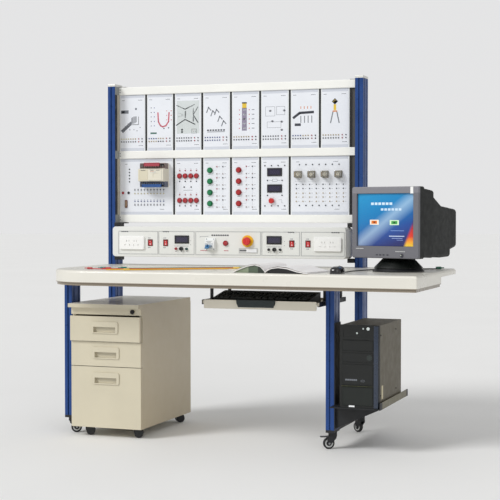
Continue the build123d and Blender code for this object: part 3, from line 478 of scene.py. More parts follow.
tile = unitTile()
disc = unitDisc(16)
inkOf = {
    "film": finish("filmPale", "e6e9ef", rough=0.42, bump=0.03, patch=8, vary=0.02),
    # the band ink is painted shadow of the rails
    "band": finish("railShadowBand", "cdd1da", rough=0.42, bump=0.03, patch=8, vary=0.02),
    "faint": finish("inkFaint", "453f63", rough=0.4, bump=0.02),
}
for ink, code, vary in (("rim", "cfd1ce", 0.03), ("grey", "74787f", 0.05), ("pale", "b9bdc5", 0.05),
                        ("field", "cdd3d3", 0.05), ("dark", "3a3d47", 0.08), ("red", "b8333a", 0.06),
                        ("pink", "c2606f", 0.06), ("blue", "3b4f8f", 0.06), ("green", "2e6154", 0.06),
                        ("yellow", "e0bd3c", 0.06), ("orange", "cf7a3c", 0.06), ("violet", "8b8399", 0.06),
                        ("white", "eef0f2", 0.02)):
    inkOf[ink] = finish("ink" + ink.capitalize(), code, rough=0.5, bump=0.03, vary=vary)
marks = {ink: [] for ink in inkOf}


def bar(ink, x, z, wide, tall, turn=0.0, front=plateFront):
    marks[ink].append(("bar", x, z, wide, tall, turn, front))


def dot(ink, x, z, radius, front=plateFront):
    marks[ink].append(("dot", x, z, radius, radius, 0.0, front))


def dashes(ink, count, x, pitch, z, wide, tall, front=plateFront):
    for j in range(count):
        bar(ink, x + pitch * j, z, wide, tall, 0, front)


def stroke(ink, points, thick, front=plateFront):
    for (xa, za), (xb, zb) in zip(points, points[1:]):
        bar(ink, (xa + xb) / 2, (za + zb) / 2, hypot(xb - xa, zb - za) + thick * 0.6, thick,
            atan2(zb - za, xb - xa), front)


def outline(ink, left, low, wide, tall, thick, front=plateFront):
    for z in (low, low + tall):
        bar(ink, left + wide / 2, z, wide + thick, thick, 0, front)
    for x in (left, left + wide):
        bar(ink, x, low + tall / 2, thick, tall + thick, 0, front)


def ring(ink, x, z, wide, tall, thick, sides=14, front=plateFront):
    turns = [2 * pi * k / sides for k in range(sides + 1)]
    stroke(ink, [(x + wide / 2 * cos(a), z + tall / 2 * sin(a)) for a in turns], thick, front)


def printMarks(name, body="bench", lift=0.0002):
    for ink, places in marks.items():
        if not places:
            continue
        copies = []
        for kind, x, z, wide, tall, turn, front in places:
            shape = tile if kind == "bar" else disc
            copies.append(twinOf(shape, (x, front - lift, z), (0, -turn, 0), (wide, 1, tall)))
        wear(copies, name + ink.capitalize(), inkOf[ink], body)
        places.clear()


# Small sockets: a collar with a bore, one shape for all
def socketShape(sides=12):
    body = drum(1, 0.0022, sides, (0, -0.0022, 0))
    hollowFront(body, 0.2, -0.0008, 0.28, 0.0022)
    body.name = "unitSocket"
    smooth(body, 40)
    return body


socket = socketShape()
socketFinish = {colour: finish("socket" + colour.capitalize(), code, rough=0.35, coat=0.3)
                for colour, code in (("red", "a8323a"), ("dark", "2a2d36"), ("blue", "39508c"),
                                     ("yellow", "b3a17a"), ("muted", "a39892"), ("cream", "cfc79b"))}
sockets = {colour: [] for colour in socketFinish}


def plugHole(colour, x, z, radius=0.0036, front=plateFront):
    sockets[colour].append((x, front, z, radius))


def fitSockets(name):
    for colour, places in sockets.items():
        if places:
            copies = [twinOf(socket, (x, y - 0.0003, z), size=(r, 1, r)) for x, y, z, r in places]
            wear(copies, name + colour.capitalize(), socketFinish[colour])
            places.clear()


# Upper row: one film inside a pale border, painted rail shadows along its top and bottom, and a drawing for
# each plate
def at(k, u, v, row=0):
    return plateLeft + platePitch * k + u * plateWide, rowTop[row] - v * rowTall


def filmOn(left, wide, row, side=0.006):
    low = rowTop[row] - rowTall
    bar("film", left + wide / 2, low + rowTall / 2, wide - 2 * side, rowTall - 0.03, 0, plateFront + 0.0001)
    # painted shadow of the rails along the film's top and bottom
    for z in (low + 0.008, low + rowTall - 0.008):
        bar("band", left + wide / 2, z, wide - 2 * side, 0.0145, 0, plateFront + 0.0001)
    for u, v, long in ((0.1, 0.095, 0.016), (0.74, 0.095, 0.024), (0.76, 0.905, 0.026)):
        dashes("dark", 4, left + u * wide, long / 4, rowTop[row] - v * rowTall, long / 5.5, 0.0026)


for k in range(8):
    filmOn(plateLeft + platePitch * k, plateWide, 0)


def plateStroke(k, ink, points, thick=0.0016):
    stroke(ink, [at(k, u, v) for u, v in points], thick * 1.9)


def plateBar(k, ink, u, v, wide, tall, turn=0.0):
    x, z = at(k, u, v)
    bar(ink, x, z, wide * plateWide, tall * rowTall, radians(turn))


def plateDots(k, ink, radius, *spots):
    for u, v in spots:
        dot(ink, *at(k, u, v), radius)


# plate 1: machine at the end of a slanting conveyor
plateBar(0, "grey", 0.2, 0.3, 0.3, 0.06)
plateBar(0, "dark", 0.14, 0.3, 0.12, 0.035)
plateDots(0, "grey", 0.0058, (0.64, 0.25))
for j in range(5):
    plateBar(0, "dark" if j % 2 else "grey", 0.47 + 0.045 * j, 0.46 - 0.006 * j, 0.028,
             0.13 - 0.012 * abs(j - 2))
plateStroke(0, "grey", [(0.1, 0.64), (0.44, 0.5)], 0.0075)
plateStroke(0, "pale", [(0.1, 0.64), (0.44, 0.5)], 0.0035)
plateStroke(0, "dark", [(0.12, 0.67), (0.46, 0.53), (0.74, 0.53), (0.74, 0.39)], 0.0014)
plateDots(0, "dark", 0.0024, (0.22, 0.56), (0.33, 0.51), (0.4, 0.62), (0.56, 0.62), (0.68, 0.64), (0.8, 0.58))
# plate 2: a rounded line of stations
plateStroke(1, "pink", [(0.42, 0.33), (0.44, 0.49), (0.52, 0.56), (0.61, 0.58), (0.73, 0.56), (0.83, 0.49),
                        (0.85, 0.33)], 0.004)
for v in (0.24, 0.32, 0.4, 0.48, 0.56):
    plateDots(1, "dark", 0.0026, (0.16, v))
    plateDots(1, "blue", 0.0026, (0.28, v))
for v in (0.3, 0.38, 0.46):
    plateDots(1, "red", 0.0028, (0.93, v))
    plateDots(1, "red", 0.0024, (0.76, v))
plateDots(1, "dark", 0.0035, (0.65, 0.61), (0.83, 0.6))
plateBar(1, "green", 0.25, 0.69, 0.24, 0.028)
# plate 3: crossroads with lights
plateBar(2, "field", 0.5, 0.42, 0.86, 0.58)
for points in (((0.07, 0.21), (0.39, 0.28), (0.75, 0.2)), ((0.05, 0.56), (0.39, 0.46), (0.77, 0.55)),
               ((0.88, 0.24), (0.7, 0.38), (0.88, 0.52)), ((0.7, 0.26), (0.7, 0.5))):
    plateStroke(2, "dark", points, 0.0026)
plateBar(2, "grey", 0.4, 0.37, 0.05, 0.13)
for j in range(4):
    plateBar(2, "white", 0.14 + 0.055 * j, 0.345 + 0.008 * j, 0.03, 0.012)
    plateBar(2, "white", 0.14 + 0.055 * j, 0.41 - 0.008 * j, 0.03, 0.012)
for v in (0.64, 0.68):
    x, z = at(2, 0.27, v)
    bar("dark", x, z, 0.0095, 0.0095, radians(45))
x, z = at(2, 0.64, 0.64)
outline("dark", x, z - 0.018, 0.026, 0.02, 0.0018)
plateDots(2, "red", 0.0028, (0.7, 0.67))
plateDots(2, "green", 0.0028, (0.77, 0.67))
# plate 4: jointed arms in a slanting cluster over a machine row
for u, v in ((0.2, 0.26), (0.36, 0.32), (0.5, 0.3), (0.62, 0.42), (0.76, 0.5)):
    plateStroke(3, "grey", [(u - 0.07, v + 0.09), (u, v), (u + 0.09, v + 0.05)], 0.0028)
    plateDots(3, "dark", 0.003, (u, v))
    plateDots(3, "grey", 0.0024, (u + 0.09, v + 0.05))
for j in range(7):
    plateBar(3, "dark", 0.18 + 0.1 * j, 0.66, 0.07, 0.026)
plateBar(3, "grey", 0.48, 0.69, 0.66, 0.012)
# plate 5: lift column
plateBar(4, "violet", 0.46, 0.48, 0.18, 0.4)
plateBar(4, "yellow", 0.46, 0.25, 0.16, 0.09)
plateBar(4, "dark", 0.46, 0.2, 0.18, 0.025)
for j in range(5):
    v = 0.32 + 0.08 * j
    plateBar(4, "pale", 0.46, v, 0.12, 0.03)
    plateDots(4, "pink", 0.0028, (0.28, v))
    plateDots(4, "red", 0.0028, (0.64, v))
    plateBar(4, "grey", 0.78, v, 0.1, 0.012)
# plate 6: pipes and pumps
for left, low, wide, tall in ((0.16, 0.44, 0.34, 0.16), (0.56, 0.42, 0.3, 0.14), (0.22, 0.64, 0.5, 0.1)):
    x, z = at(5, left, low)
    outline("grey", x, z, wide * plateWide, tall * rowTall, 0.0014)
for u, v in ((0.33, 0.35), (0.84, 0.35), (0.41, 0.53), (0.75, 0.54), (0.75, 0.68)):
    x, z = at(5, u, v)
    ring("dark", x, z, 0.012, 0.008, 0.0018)
    dot("dark", x, z, 0.0034)
# plate 7: belt with lifting posts
plateStroke(6, "dark", [(0.1, 0.48), (0.32, 0.4), (0.8, 0.39)], 0.0065)
plateStroke(6, "grey", [(0.1, 0.48), (0.32, 0.4), (0.8, 0.39)], 0.0022)
for j in range(4):
    plateBar(6, "orange", 0.36 + 0.12 * j, 0.31, 0.026, 0.045)
    plateBar(6, "grey", 0.36 + 0.13 * j, 0.51, 0.03, 0.12)
plateBar(6, "dark", 0.25, 0.6, 0.22, 0.045)
# plate 8: beacon on a stand
for reach, ink in ((0.13, "dark"), (0.1, "yellow")):
    x, z = at(7, 0.49, 0.22)
    bar(ink, x, z, reach * plateWide * 1.2, reach * plateWide * 1.2, radians(45))
plateBar(7, "yellow", 0.49, 0.32, 0.09, 0.1)
plateBar(7, "orange", 0.49, 0.385, 0.16, 0.02)
plateStroke(7, "grey", [(0.42, 0.4), (0.34, 0.58)], 0.003)
plateStroke(7, "grey", [(0.56, 0.4), (0.64, 0.58)], 0.003)
for k, colours in enumerate((("cream", "dark"), ("blue", "yellow"), ("dark", "dark"), ("blue", "blue"),
                             ("yellow", "dark"), ("dark", "dark"), ("blue", "dark"), ("yellow", "dark"))):
    for line, colour in enumerate(colours):
        v = 0.785 + 0.05 * line
        for j in range(7):
            hue = colour
            if j > 3 and (k, line) in ((0, 0), (1, 0), (6, 0)):
                hue = "yellow"
            if j > 3 and (k, line) in ((1, 1), (4, 1)):
                hue = "dark"
            x, z = at(k, 0.08 + 0.09 * j, v)
            plugHole(hue, x, z, 0.0032)
        for u in (0.75, 0.88):
            x, z = at(k, u, v)
            plugHole("red" if u < 0.8 else "dark", x, z, 0.0032)
printMarks("upper")
fitSockets("upperSockets")
print("upper row printed")

# Lower row: films with painted rail shadows, sockets and dashes
for k, columns in ((0, 2), (2, 1), (3, 1), (4, 1), (5, 1), (6, 2)):
    filmOn(plateLeft + platePitch * k, platePitch * columns - 0.011, 1)


def inRow(count, first, last):
    return [first + (last - first) * j / (count - 1) for j in range(count)]


# controller plate
for z in inRow(5, 1.287, 1.223):
    plugHole("dark", -0.792, z)
for z, colours in ((1.181, "dark"), (1.162, "cream"), (1.123, "blue"), (1.104, "dark")):
    for x in inRow(10, -0.7614, -0.600):
        plugHole(colours, x, z, 0.0033)
        bar("grey", x, z + 0.0085, 0.005, 0.0018)
plugHole("red", -0.829, 1.166, 0.007)
plugHole("dark", -0.797, 1.166, 0.007)
# lamp plate
for z in (1.278, 1.223, 1.155, 1.099):
    for x in inRow(4, -0.511, -0.419):
        plugHole("red" if z in (1.278, 1.155) else "dark", x, z, 0.0033)
        bar("grey", x, z + 0.0085, 0.006, 0.0018)
for x in (-0.486, -0.448):
    plugHole("dark", x, 1.194)
bar("grey", -0.466, 1.178, 0.05, 0.002)
# start and stop plates
for left in (-0.387, -0.229):
    for k in range(4):
        level = 1.277 - 0.0556 * k
        stroke("pale", [(left + 0.056, level), (left + 0.078, level), (left + 0.078, level + 0.014)], 0.001)
        bar("grey", left + 0.037, level - 0.02, 0.014, 0.002)
        for x, colour in ((left + 0.079, "red"), (left + 0.111, "dark")):
            plugHole(colour, x, level + 0.018, 0.0033)
            plugHole("muted", x, level - 0.018, 0.0033)
            bar("grey", x + 0.012, level + 0.018, 0.009, 0.0018)
            bar("grey", x + 0.012, level - 0.018, 0.009, 0.0018)
        stroke("pale", [(left + 0.111, level - 0.013), (left + 0.111, level + 0.013)], 0.0009)
# meter plate
for x in inRow(4, -0.052, 0.052):
    plugHole("dark", x, 1.297, 0.0034)
    plugHole("dark", x, 1.098, 0.0034)
for z in (1.224, 1.150):
    for x in (-0.038, 0.038):
        plugHole("dark", x, z, 0.0034)
stroke("grey", [(-0.03, 1.224), (-0.012, 1.224), (-0.012, 1.23), (0.012, 1.23), (0.012, 1.218),
                (-0.012, 1.218), (-0.012, 1.224)], 0.0014)
stroke("grey", [(0.012, 1.224), (0.03, 1.224)], 0.0014)
for k in range(9):
    turn = radians(-30 + 30 * k)
    bar("dark", -0.015 + 0.018 * cos(turn), 1.123 + 0.018 * sin(turn), 0.004, 0.0012, turn)
stroke("grey", [(0.02, 1.128), (0.036, 1.128), (0.036, 1.112), (0.044, 1.112)], 0.0012)
# relay plate
for x in inRow(7, 0.128, 0.330):
    plugHole("dark", x, 1.300, 0.0034)
    plugHole("dark", x, 1.100, 0.0034)
for z, colour in ((1.203, "dark"), (1.183, "dark"), (1.160, "yellow"), (1.141, "yellow"), (1.120, "yellow")):
    for x in inRow(8, 0.112, 0.352):
        plugHole(colour, x, z, 0.003)
        bar("grey", x + 0.012, z, 0.008, 0.0014)
for x in (0.124, 0.193, 0.261, 0.330):
    stroke("pale", [(x - 0.02, 1.218), (x + 0.02, 1.218), (x + 0.02, 1.208)], 0.001)
    bar("grey", x, 1.229, 0.014, 0.002)
printMarks("lower")
fitSockets("lowerSockets")
print("lower row printed")

# Controller: terminal combs, covers, hinge screws, port lid and printed lights on the moulded body
step, front, combPitch = 0.3183, 0.2953, 0.0128


def lid(x, y, z, rim, deep, round=0.0006):
    return hollowFront(slab(x, y, z, round, 1), rim, deep)


def screwHead(radius):
    head = drum(radius, radius * 0.7, 12, (0, -radius * 0.7, 0))
    hollowFront(head, radius * 0.42, radius * 0.3)
    smooth(head, 40)
    return head


screw = screwHead(0.0034)
steelGrey = finish("screwSteel", "9a9c9e", rough=0.32, metal=0.85, patch=60, vary=0.1)
blackScrew = finish("screwBlack", "1c1c1f", rough=0.4, metal=0.4, patch=60, vary=0.1)
tooth = slab((-0.0011, 0.0011), (-0.006, 0), (-0.5, 0.5), 0.0004, 1)
for name, low, high, code in (("upper", 1.290, 1.312, "63514c"), ("lower", 1.199, 1.220, "44506e")):
    teeth = [twinOf(tooth, (-0.704 + combPitch * k, step, (low + high) / 2), size=(1, 1, high - low))
             for k in range(11)]
    wear(teeth, name + "Comb", code, rough=0.5, grain=800)
    heads = [twinOf(screw, (-0.6976 + combPitch * k, step, (low + high) / 2)) for k in range(10)]
    wear(heads, name + "Screws", steelGrey)
for name, x, z, code in (("maroonCover", (-0.681, -0.596), (1.299, 1.3175), "a8404c"),
                         ("blueCover", (-0.692, -0.586), (1.1925, 1.2085), "23508f")):
    cover = lid(x, (step - 0.016, step - 0.0055), z, 0.003, 0.0012)
    wear(cover, name, code, rough=0.25, grain=700, coat=0.4, vary=0.08)
for name, z in (("upperHinge", 1.308), ("lowerHinge", 1.2005)):
    pair = [twinOf(screw, (x, step - 0.004, z), size=(1.3, 1.6, 1.3)) for x in (-0.588, -0.578)]
    wear(pair, name, blackScrew)
lidFace = lid((-0.7045, -0.655), (front - 0.0012, front), (1.229, 1.282), 0.0016, 0.0006, 0.0004)
wear(lidFace, "portLid", "d8d1ba", grain=700, bump=0.08, vary=0.03)
for x in inRow(6, -0.640, -0.612):
    for z in (1.273, 1.266):
        bar("red" if z > 1.27 and x < -0.62 else "pale", x, z, 0.0032, 0.0022, 0, front)
for x, wide in ((-0.68, 0.024), (-0.632, 0.018), (-0.6, 0.02)):
    bar("dark", x, 1.2785, wide, 0.002, 0, front - (0.0012 if x < -0.65 else 0))
stroke("grey", [(-0.65, 1.228), (-0.58, 1.228), (-0.58, 1.284), (-0.65, 1.284)], 0.0008, front)

# Painted shade beside the rows: at the left a black sheet for the shaded side of the post and a beige-grey
# sheet for the shadow between post and plate, at the right a dark sheet for the shaded gap before the post
postShadeBlack = finish("postShadeBlack", "17181a", rough=0.5, grain=700, bump=0.12, patch=14, vary=0.12)
postShadowBeige = finish("postShadowBeige", "b3ab9b", rough=0.5, grain=700, patch=14, vary=0.1)
gapShadeDark = finish("gapShadeDark", "4a4947", rough=0.5, grain=700, patch=14, vary=0.1)
for row, top in enumerate(rowTop, 1):
    low = top - rowTall
    for name, back, mat in (("postSideShade", -0.8468, postShadeBlack), ("postGapShadow", -0.8462, postShadowBeige)):
        depth = (0.3175, 0.3405) if name == "postSideShade" else (0.3405, 0.3688)
        wear(lid((-0.8478, back), depth, (low, top), 0.001, 0.0004, 0.0003), f"{name}{row}", mat)
    # dark sheet behind the gap at the right end: painted shade
    strip = lid((0.3935, 0.4245), (0.3745, 0.3775), (low - 0.002, top + 0.002), 0.003, 0.0006, 0.0006)
    wear(strip, f"endGapShade{row}", gapShadeDark)

# Port at the lower left of the controller's plate
portShell = lid((-0.818, -0.803), (plateFront - 0.006, plateFront), (1.089, 1.129), 0.0028, 0.004, 0.0024)
wear(portShell, "portShell", "6a3a26", rough=0.4, grain=700, metal=0.2, vary=0.08)
portCore = slab((-0.8145, -0.8065), (plateFront - 0.0035, plateFront), (1.0935, 1.1245), 0.0012)
wear(portCore, "portCore", "d9cfae", rough=0.5, bump=0.08)

# Relays: socket, works and a clear cover
relaySpots = [(x, 1.252) for x in (0.124, 0.193, 0.261, 0.330)]
relayBase = lid((-0.0165, 0.0165), (-0.008, 0), (-0.0175, 0.0175), 0.0026, 0.0016, 0.001)
relayCover = slab((-0.015, 0.015), (-0.034, -0.0082), (-0.015, 0.015), 0.0018)
relayCoil = drum(0.0078, 0.02, 18, (0.002, -0.0305, 0))
hollowFront(relayCoil, 0.002, 0.0014)
relayYoke = lid((-0.0125, 0.0125), (-0.0095, -0.0075), (-0.0125, 0.0125), 0.002, 0.0006, 0.0004)
relayBlade = slab((-0.0115, -0.008), (-0.03, -0.009), (-0.011, 0.011), 0.0006, 1)
for name, shape, mat in (
        ("relayBases", relayBase, finish("relayBase", "8f897b", rough=0.5, grain=800)),
        ("relayCoils", relayCoil, finish("relayCoil", "f2eee2", rough=0.4, grain=1400, bump=0.25)),
        ("relayYokes", relayYoke, finish("relayYoke", "8d8878", rough=0.35, metal=0.6)),
        ("relayBlades", relayBlade, finish("relayBlade", "a98b5a", rough=0.35, metal=0.6)),
        ("relayCovers", relayCover, finish("relayClear", "e9e6dc", rough=0.08, bump=0.02, vary=0.01,
                                           spread=0.04, through=0.82))):
    copies = [twinOf(shape, (x, plateFront, z)) for x, z in relaySpots]
    made = wear(copies, name, mat)
    if name == "relayBases":
        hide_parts("relays")
scrap(relayBase, relayCover, relayCoil, relayYoke, relayBlade)

# Meters and displays: rim, dark window and faint segments
meterRim = lid((-0.0365, 0.0365), (-0.0022, 0), (-0.0182, 0.0182), 0.0034, 0.0014, 0.0008)
meterGlass = slab((-0.0325, 0.0325), (-0.0012, -0.0004), (-0.0142, 0.0142), 0.0006, 1)
meterSpots = [(-0.001, 0.3663, 1.265), (-0.001, 0.3663, 1.184), (-0.444, 0.237, 0.931), (0.042, 0.237, 0.931)]
for name, shape, mat in (
        ("meterRims", meterRim, finish("meterRim", "1b1b20", rough=0.4, bump=0.06)),
        ("meterGlass", meterGlass, finish("meterGlass", "241f38", rough=0.12, bump=0.01, coat=0.6))):
    wear([twinOf(shape, spot) for spot in meterSpots], name, mat)
segment = 0.0072
for x, y, z in meterSpots:
    for k in range(4):
        left = x - 0.0215 + 0.0118 * k
        for dz in (-segment, 0, segment):
            bar("faint", left + segment / 2, z + dz, 0.0056, 0.0011, 0, y - 0.0012)
        for dx in (0, segment):
            for dz in (-segment / 2, segment / 2):
                bar("faint", left + dx, z + dz, 0.0011, 0.0056, 0, y - 0.0012)
scrap(meterRim, meterGlass)

# Console: fields, captions, rocker signs and the label plate
face = 0.24
fieldEdges = ((-0.791, -0.576), (-0.569, -0.379), (-0.369, -0.029), (-0.021, 0.171), (0.181, 0.395))
for left, right in fieldEdges:
    outline("grey", left, 0.857, right - left, 0.113, 0.0011, face)
    outline("rim", left - 0.0026, 0.8544, right - left + 0.0052, 0.1182, 0.0009, face)
for x, wide in ((-0.758, 0.04), (-0.531, 0.036), (0.128, 0.034), (0.351, 0.042)):
    dashes("dark", 4, x - wide * 0.375, wide / 4, 0.9692, wide / 5.4, 0.0042, face - 0.0003)
dashes("dark", 8, -0.281, 0.0117, 0.953, 0.0088, 0.0068, face)
for x, wide in ((-0.326, 0.038), (-0.208, 0.024)):
    dashes("pink", 5, x - wide * 0.4, wide / 5, 0.8775, wide / 6.5, 0.004, face)
stroke("grey", [(-0.346, 0.94), (-0.346, 0.947), (-0.302, 0.947)], 0.0012, face)
for x in (-0.622, -0.538, 0.131, 0.212):
    for z in (0.9375, 0.8895):
        dashes("grey", 2, x - 0.0036, 0.0072, z, 0.0052, 0.0034, face)
for left, right in ((-0.486, -0.408), (0.003, 0.081)):
    stroke("grey", [(left, 0.8985), (right, 0.8985)], 0.0014, face)
    dashes("grey", 3, left + 0.01, 0.029, 0.8712, 0.008, 0.0022, face)
for x, z in ((-0.397, 0.925), (-0.397, 0.905), (0.094, 0.905), (0.094, 0.925), (0.15, 0.915)):
    dot("grey", x, z, 0.0016, face)
labelPlate = lid((-0.141, -0.043), (face - 0.0025, face), (0.8665, 0.8915), 0.0018, 0.0008, 0.0006)
wear(labelPlate, "labelPlate", "c9cac8", rough=0.4, grain=800, bump=0.05, vary=0.03)
bar("white", -0.075, 0.879, 0.054, 0.016, 0, face - 0.0019)
dashes("dark", 5, -0.133, 0.0072, 0.8795, 0.0056, 0.0062, face - 0.0019)

# Rocker signs: an upright stroke above and a small square of four bars below
rockerTop, rockerLow = (0.2368, 0.9196, radians(18.4)), (0.2388, 0.9072, radians(0.5))
signBars = ((rockerTop, 0, 0, 0.0016, 0.0058), (rockerLow, 0, 0.0024, 0.0052, 0.0013),
            (rockerLow, 0, -0.0024, 0.0052, 0.0013), (rockerLow, -0.0024, 0, 0.0013, 0.0056),
            (rockerLow, 0.0024, 0, 0.0013, 0.0056))
for k, x in enumerate(rockerSpots, 1):
    signs = [twinOf(tile, (x + dx, y, z + dz), (lean, 0, 0), (wide, 1, tall))
             for (y, z, lean), dx, dz, wide, tall in signBars]
    wear(signs, f"rockerSigns{k}", inkOf["white"], f"rocker_{k}_paddle")

# Terminal posts and adjusting knobs under the displays
def postShape(radius, depth):
    post = drum(radius, depth * 0.35, 20, (0, -depth * 0.35, 0))
    hollowFront(post, radius * 0.16, -depth * 0.6, radius * 0.3, depth * 0.3)
    smooth(post, 40)
    return post


smallPost = postShape(0.0066, 0.011)
bigKnob = postShape(0.0098, 0.015)
flute = slab((-0.0006, 0.0006), (-0.0138, -0.0052), (0.0076, 0.0092), 0.0003, 1)
fluted = [bigKnob] + [twinOf(flute, turn=(0, radians(30 * k), 0)) for k in range(12)]
scrap(flute)
bigKnob = join(fluted)
for name, shape, spots, code in (
        ("terminalRed", smallPost, [(-0.475, 0.885)], "b0303a"),
        ("terminalTeal", smallPost, [(-0.418, 0.884)], "1d4c4c"),
        ("terminalDark", smallPost, [(0.015, 0.885), (0.073, 0.885)], "23262b"),
        ("voltageKnobs", bigKnob, [(-0.4465, 0.885), (0.044, 0.885)], "101113")):
    copies = [twinOf(shape, (x, face, z)) for x, z in spots]
    wear(copies, name, code, rough=0.3, coat=0.3, vary=0.08)
scrap(smallPost, bigKnob)

# Breaker details: third lever and its seat, a groove in the toggle, printed lines and screws
lever = lid((-0.2865, -0.2775), (0.2125, 0.2215), (0.893, 0.905), 0.0014, 0.0008, 0.0012)
leverSeat = lid((-0.314, -0.27), (0.2205, 0.2225), (0.886, 0.915), 0.0012, 0.001, 0.0006)
groove = slab((-0.2994, -0.2986), (0.2105, 0.2225), (0.8905, 0.9085), 0.0002, 1)
wear(lever, "breakerSideLever", "7d93a6", rough=0.35, coat=0.2)
wear(leverSeat, "breakerSeat", "d4d8da", rough=0.35)
wear(groove, "toggleSplit", "16304f", rough=0.5)
for z, wide in ((0.9235, 0.03), (0.9185, 0.02)):
    bar("grey", -0.292, z, wide, 0.0016, 0, 0.222)
for x, z in ((-0.309, 0.934), (-0.271, 0.934), (-0.309, 0.884), (-0.271, 0.884)):
    dot("grey", x, z, 0.0026, 0.234)

printMarks("console")
print("controls built")

# Keyboard keys
keys = {"pitch": 0.0194, "left": -0.104, "lean": radians(9.65), "front": -0.1795, "low": 0.6741,
        "cap": 0.0178, "gap": 0.0016}


def keyShape():
    bpy.ops.mesh.primitive_cube_add(size=1)
    key = bpy.context.object
    key.scale = (keys["cap"], keys["cap"], 0.007)
    settle(key)
    editAll(key)
    bpy.ops.mesh.select_all(action="DESELECT")
    leaveEdit()
    for flat in key.data.polygons:
        flat.select = flat.normal.z > 0.9
    bpy.ops.object.mode_set(mode="EDIT")
    bpy.ops.transform.resize(value=(0.74, 0.74, 1))
    bpy.ops.mesh.inset(thickness=0.001)
    bpy.ops.transform.translate(value=(0, 0, -0.0006))
    leaveEdit()
    return soften(key, 0.0006, 1)


key = keyShape()
blocks = {"main": (0, 15), "nav": (15.35, 3), "pad": (18.7, 4)}
for name, (start, count) in blocks.items():
    copies = []
    for row in range(6):
        depth = row * keys["pitch"] + (0.007 if row == 5 else 0)
        if name == "nav" and row in (1, 2):
            continue
        spans = [(column, 1) for column in range(count)]
        if name == "main" and row == 0:
            spans = [(0, 1.3), (1.3, 1.3), (2.6, 1.3), (3.9, 6.6), (10.5, 1.5), (12, 1.5), (13.5, 1.5)]
        for column, wide in spans:
            x = keys["left"] + (start + column + wide / 2) * keys["pitch"]
            y = keys["front"] + cos(keys["lean"]) * depth
            z = keys["low"] + sin(keys["lean"]) * depth + 0.0036
            size = ((wide * keys["pitch"] - keys["gap"]) / keys["cap"], 1, 1)
            copies.append(twinOf(key, (x, y, z), (keys["lean"], 0, 0), size))
    wear(copies, name + "Keys", "242a29", "tray", bump=0.12, patch=40, vary=0.12)
scrap(key)

# Padded wrist rest in the tray's cut-out
# under the seam the sides draw in by the tuck, and what lies behind the step is squeezed up to it
pad = {"middle": 0.115, "half": 0.0916, "tuck": 0.009, "seam": 0.656, "drop": 0.0188, "step": -0.2165,
       "squeeze": 0.05}
rest = slab((pad["middle"] - pad["half"], pad["middle"] + pad["half"]), (-0.2305, -0.1995), (0.6372, 0.6708))
editAll(rest)
bpy.ops.mesh.subdivide(number_cuts=5)
leaveEdit()
for vert in rest.data.vertices:
    depth = (pad["seam"] - vert.co.z) / pad["drop"]
    if depth > 0:
        reach = (vert.co.x - pad["middle"]) / pad["half"]
        vert.co.x = pad["middle"] + reach * (pad["half"] - pad["tuck"] * min(1, depth))
        if vert.co.y > pad["step"]:
            vert.co.y = pad["step"] + (vert.co.y - pad["step"]) * pad["squeeze"]
soften(rest, 0.004, 3)
wear(rest, "restPad", "2b3436", "tray", rough=0.62, grain=1600, bump=0.3, patch=18, vary=0.08)
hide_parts("wrist_rest")
print("tray dressed")

# Monitor: picture on the tube with a painted highlight band, foot skirt, chin controls, rear panel
monitor = {"place": (0.719, -0.005, 0), "turn": (0, 0, radians(-20)), "front": -0.112}
across = (cos(radians(-20)), sin(radians(-20)), 0)


def ramp(tree, value, stops):
    node = tree.nodes.new("ShaderNodeValToRGB")
    cuts = node.color_ramp.elements
    cuts.remove(cuts[1])
    cuts[0].position = stops[0][0]
    cuts[0].color = tint(stops[0][1])
    for place, code in stops[1:]:
        cuts.new(place).color = tint(code)
    tree.links.new(value, node.inputs["Fac"])
    return node.outputs["Color"]


def tilted(side, up):
    return tuple(side * a + up * b for a, b in zip(across, zAxis))


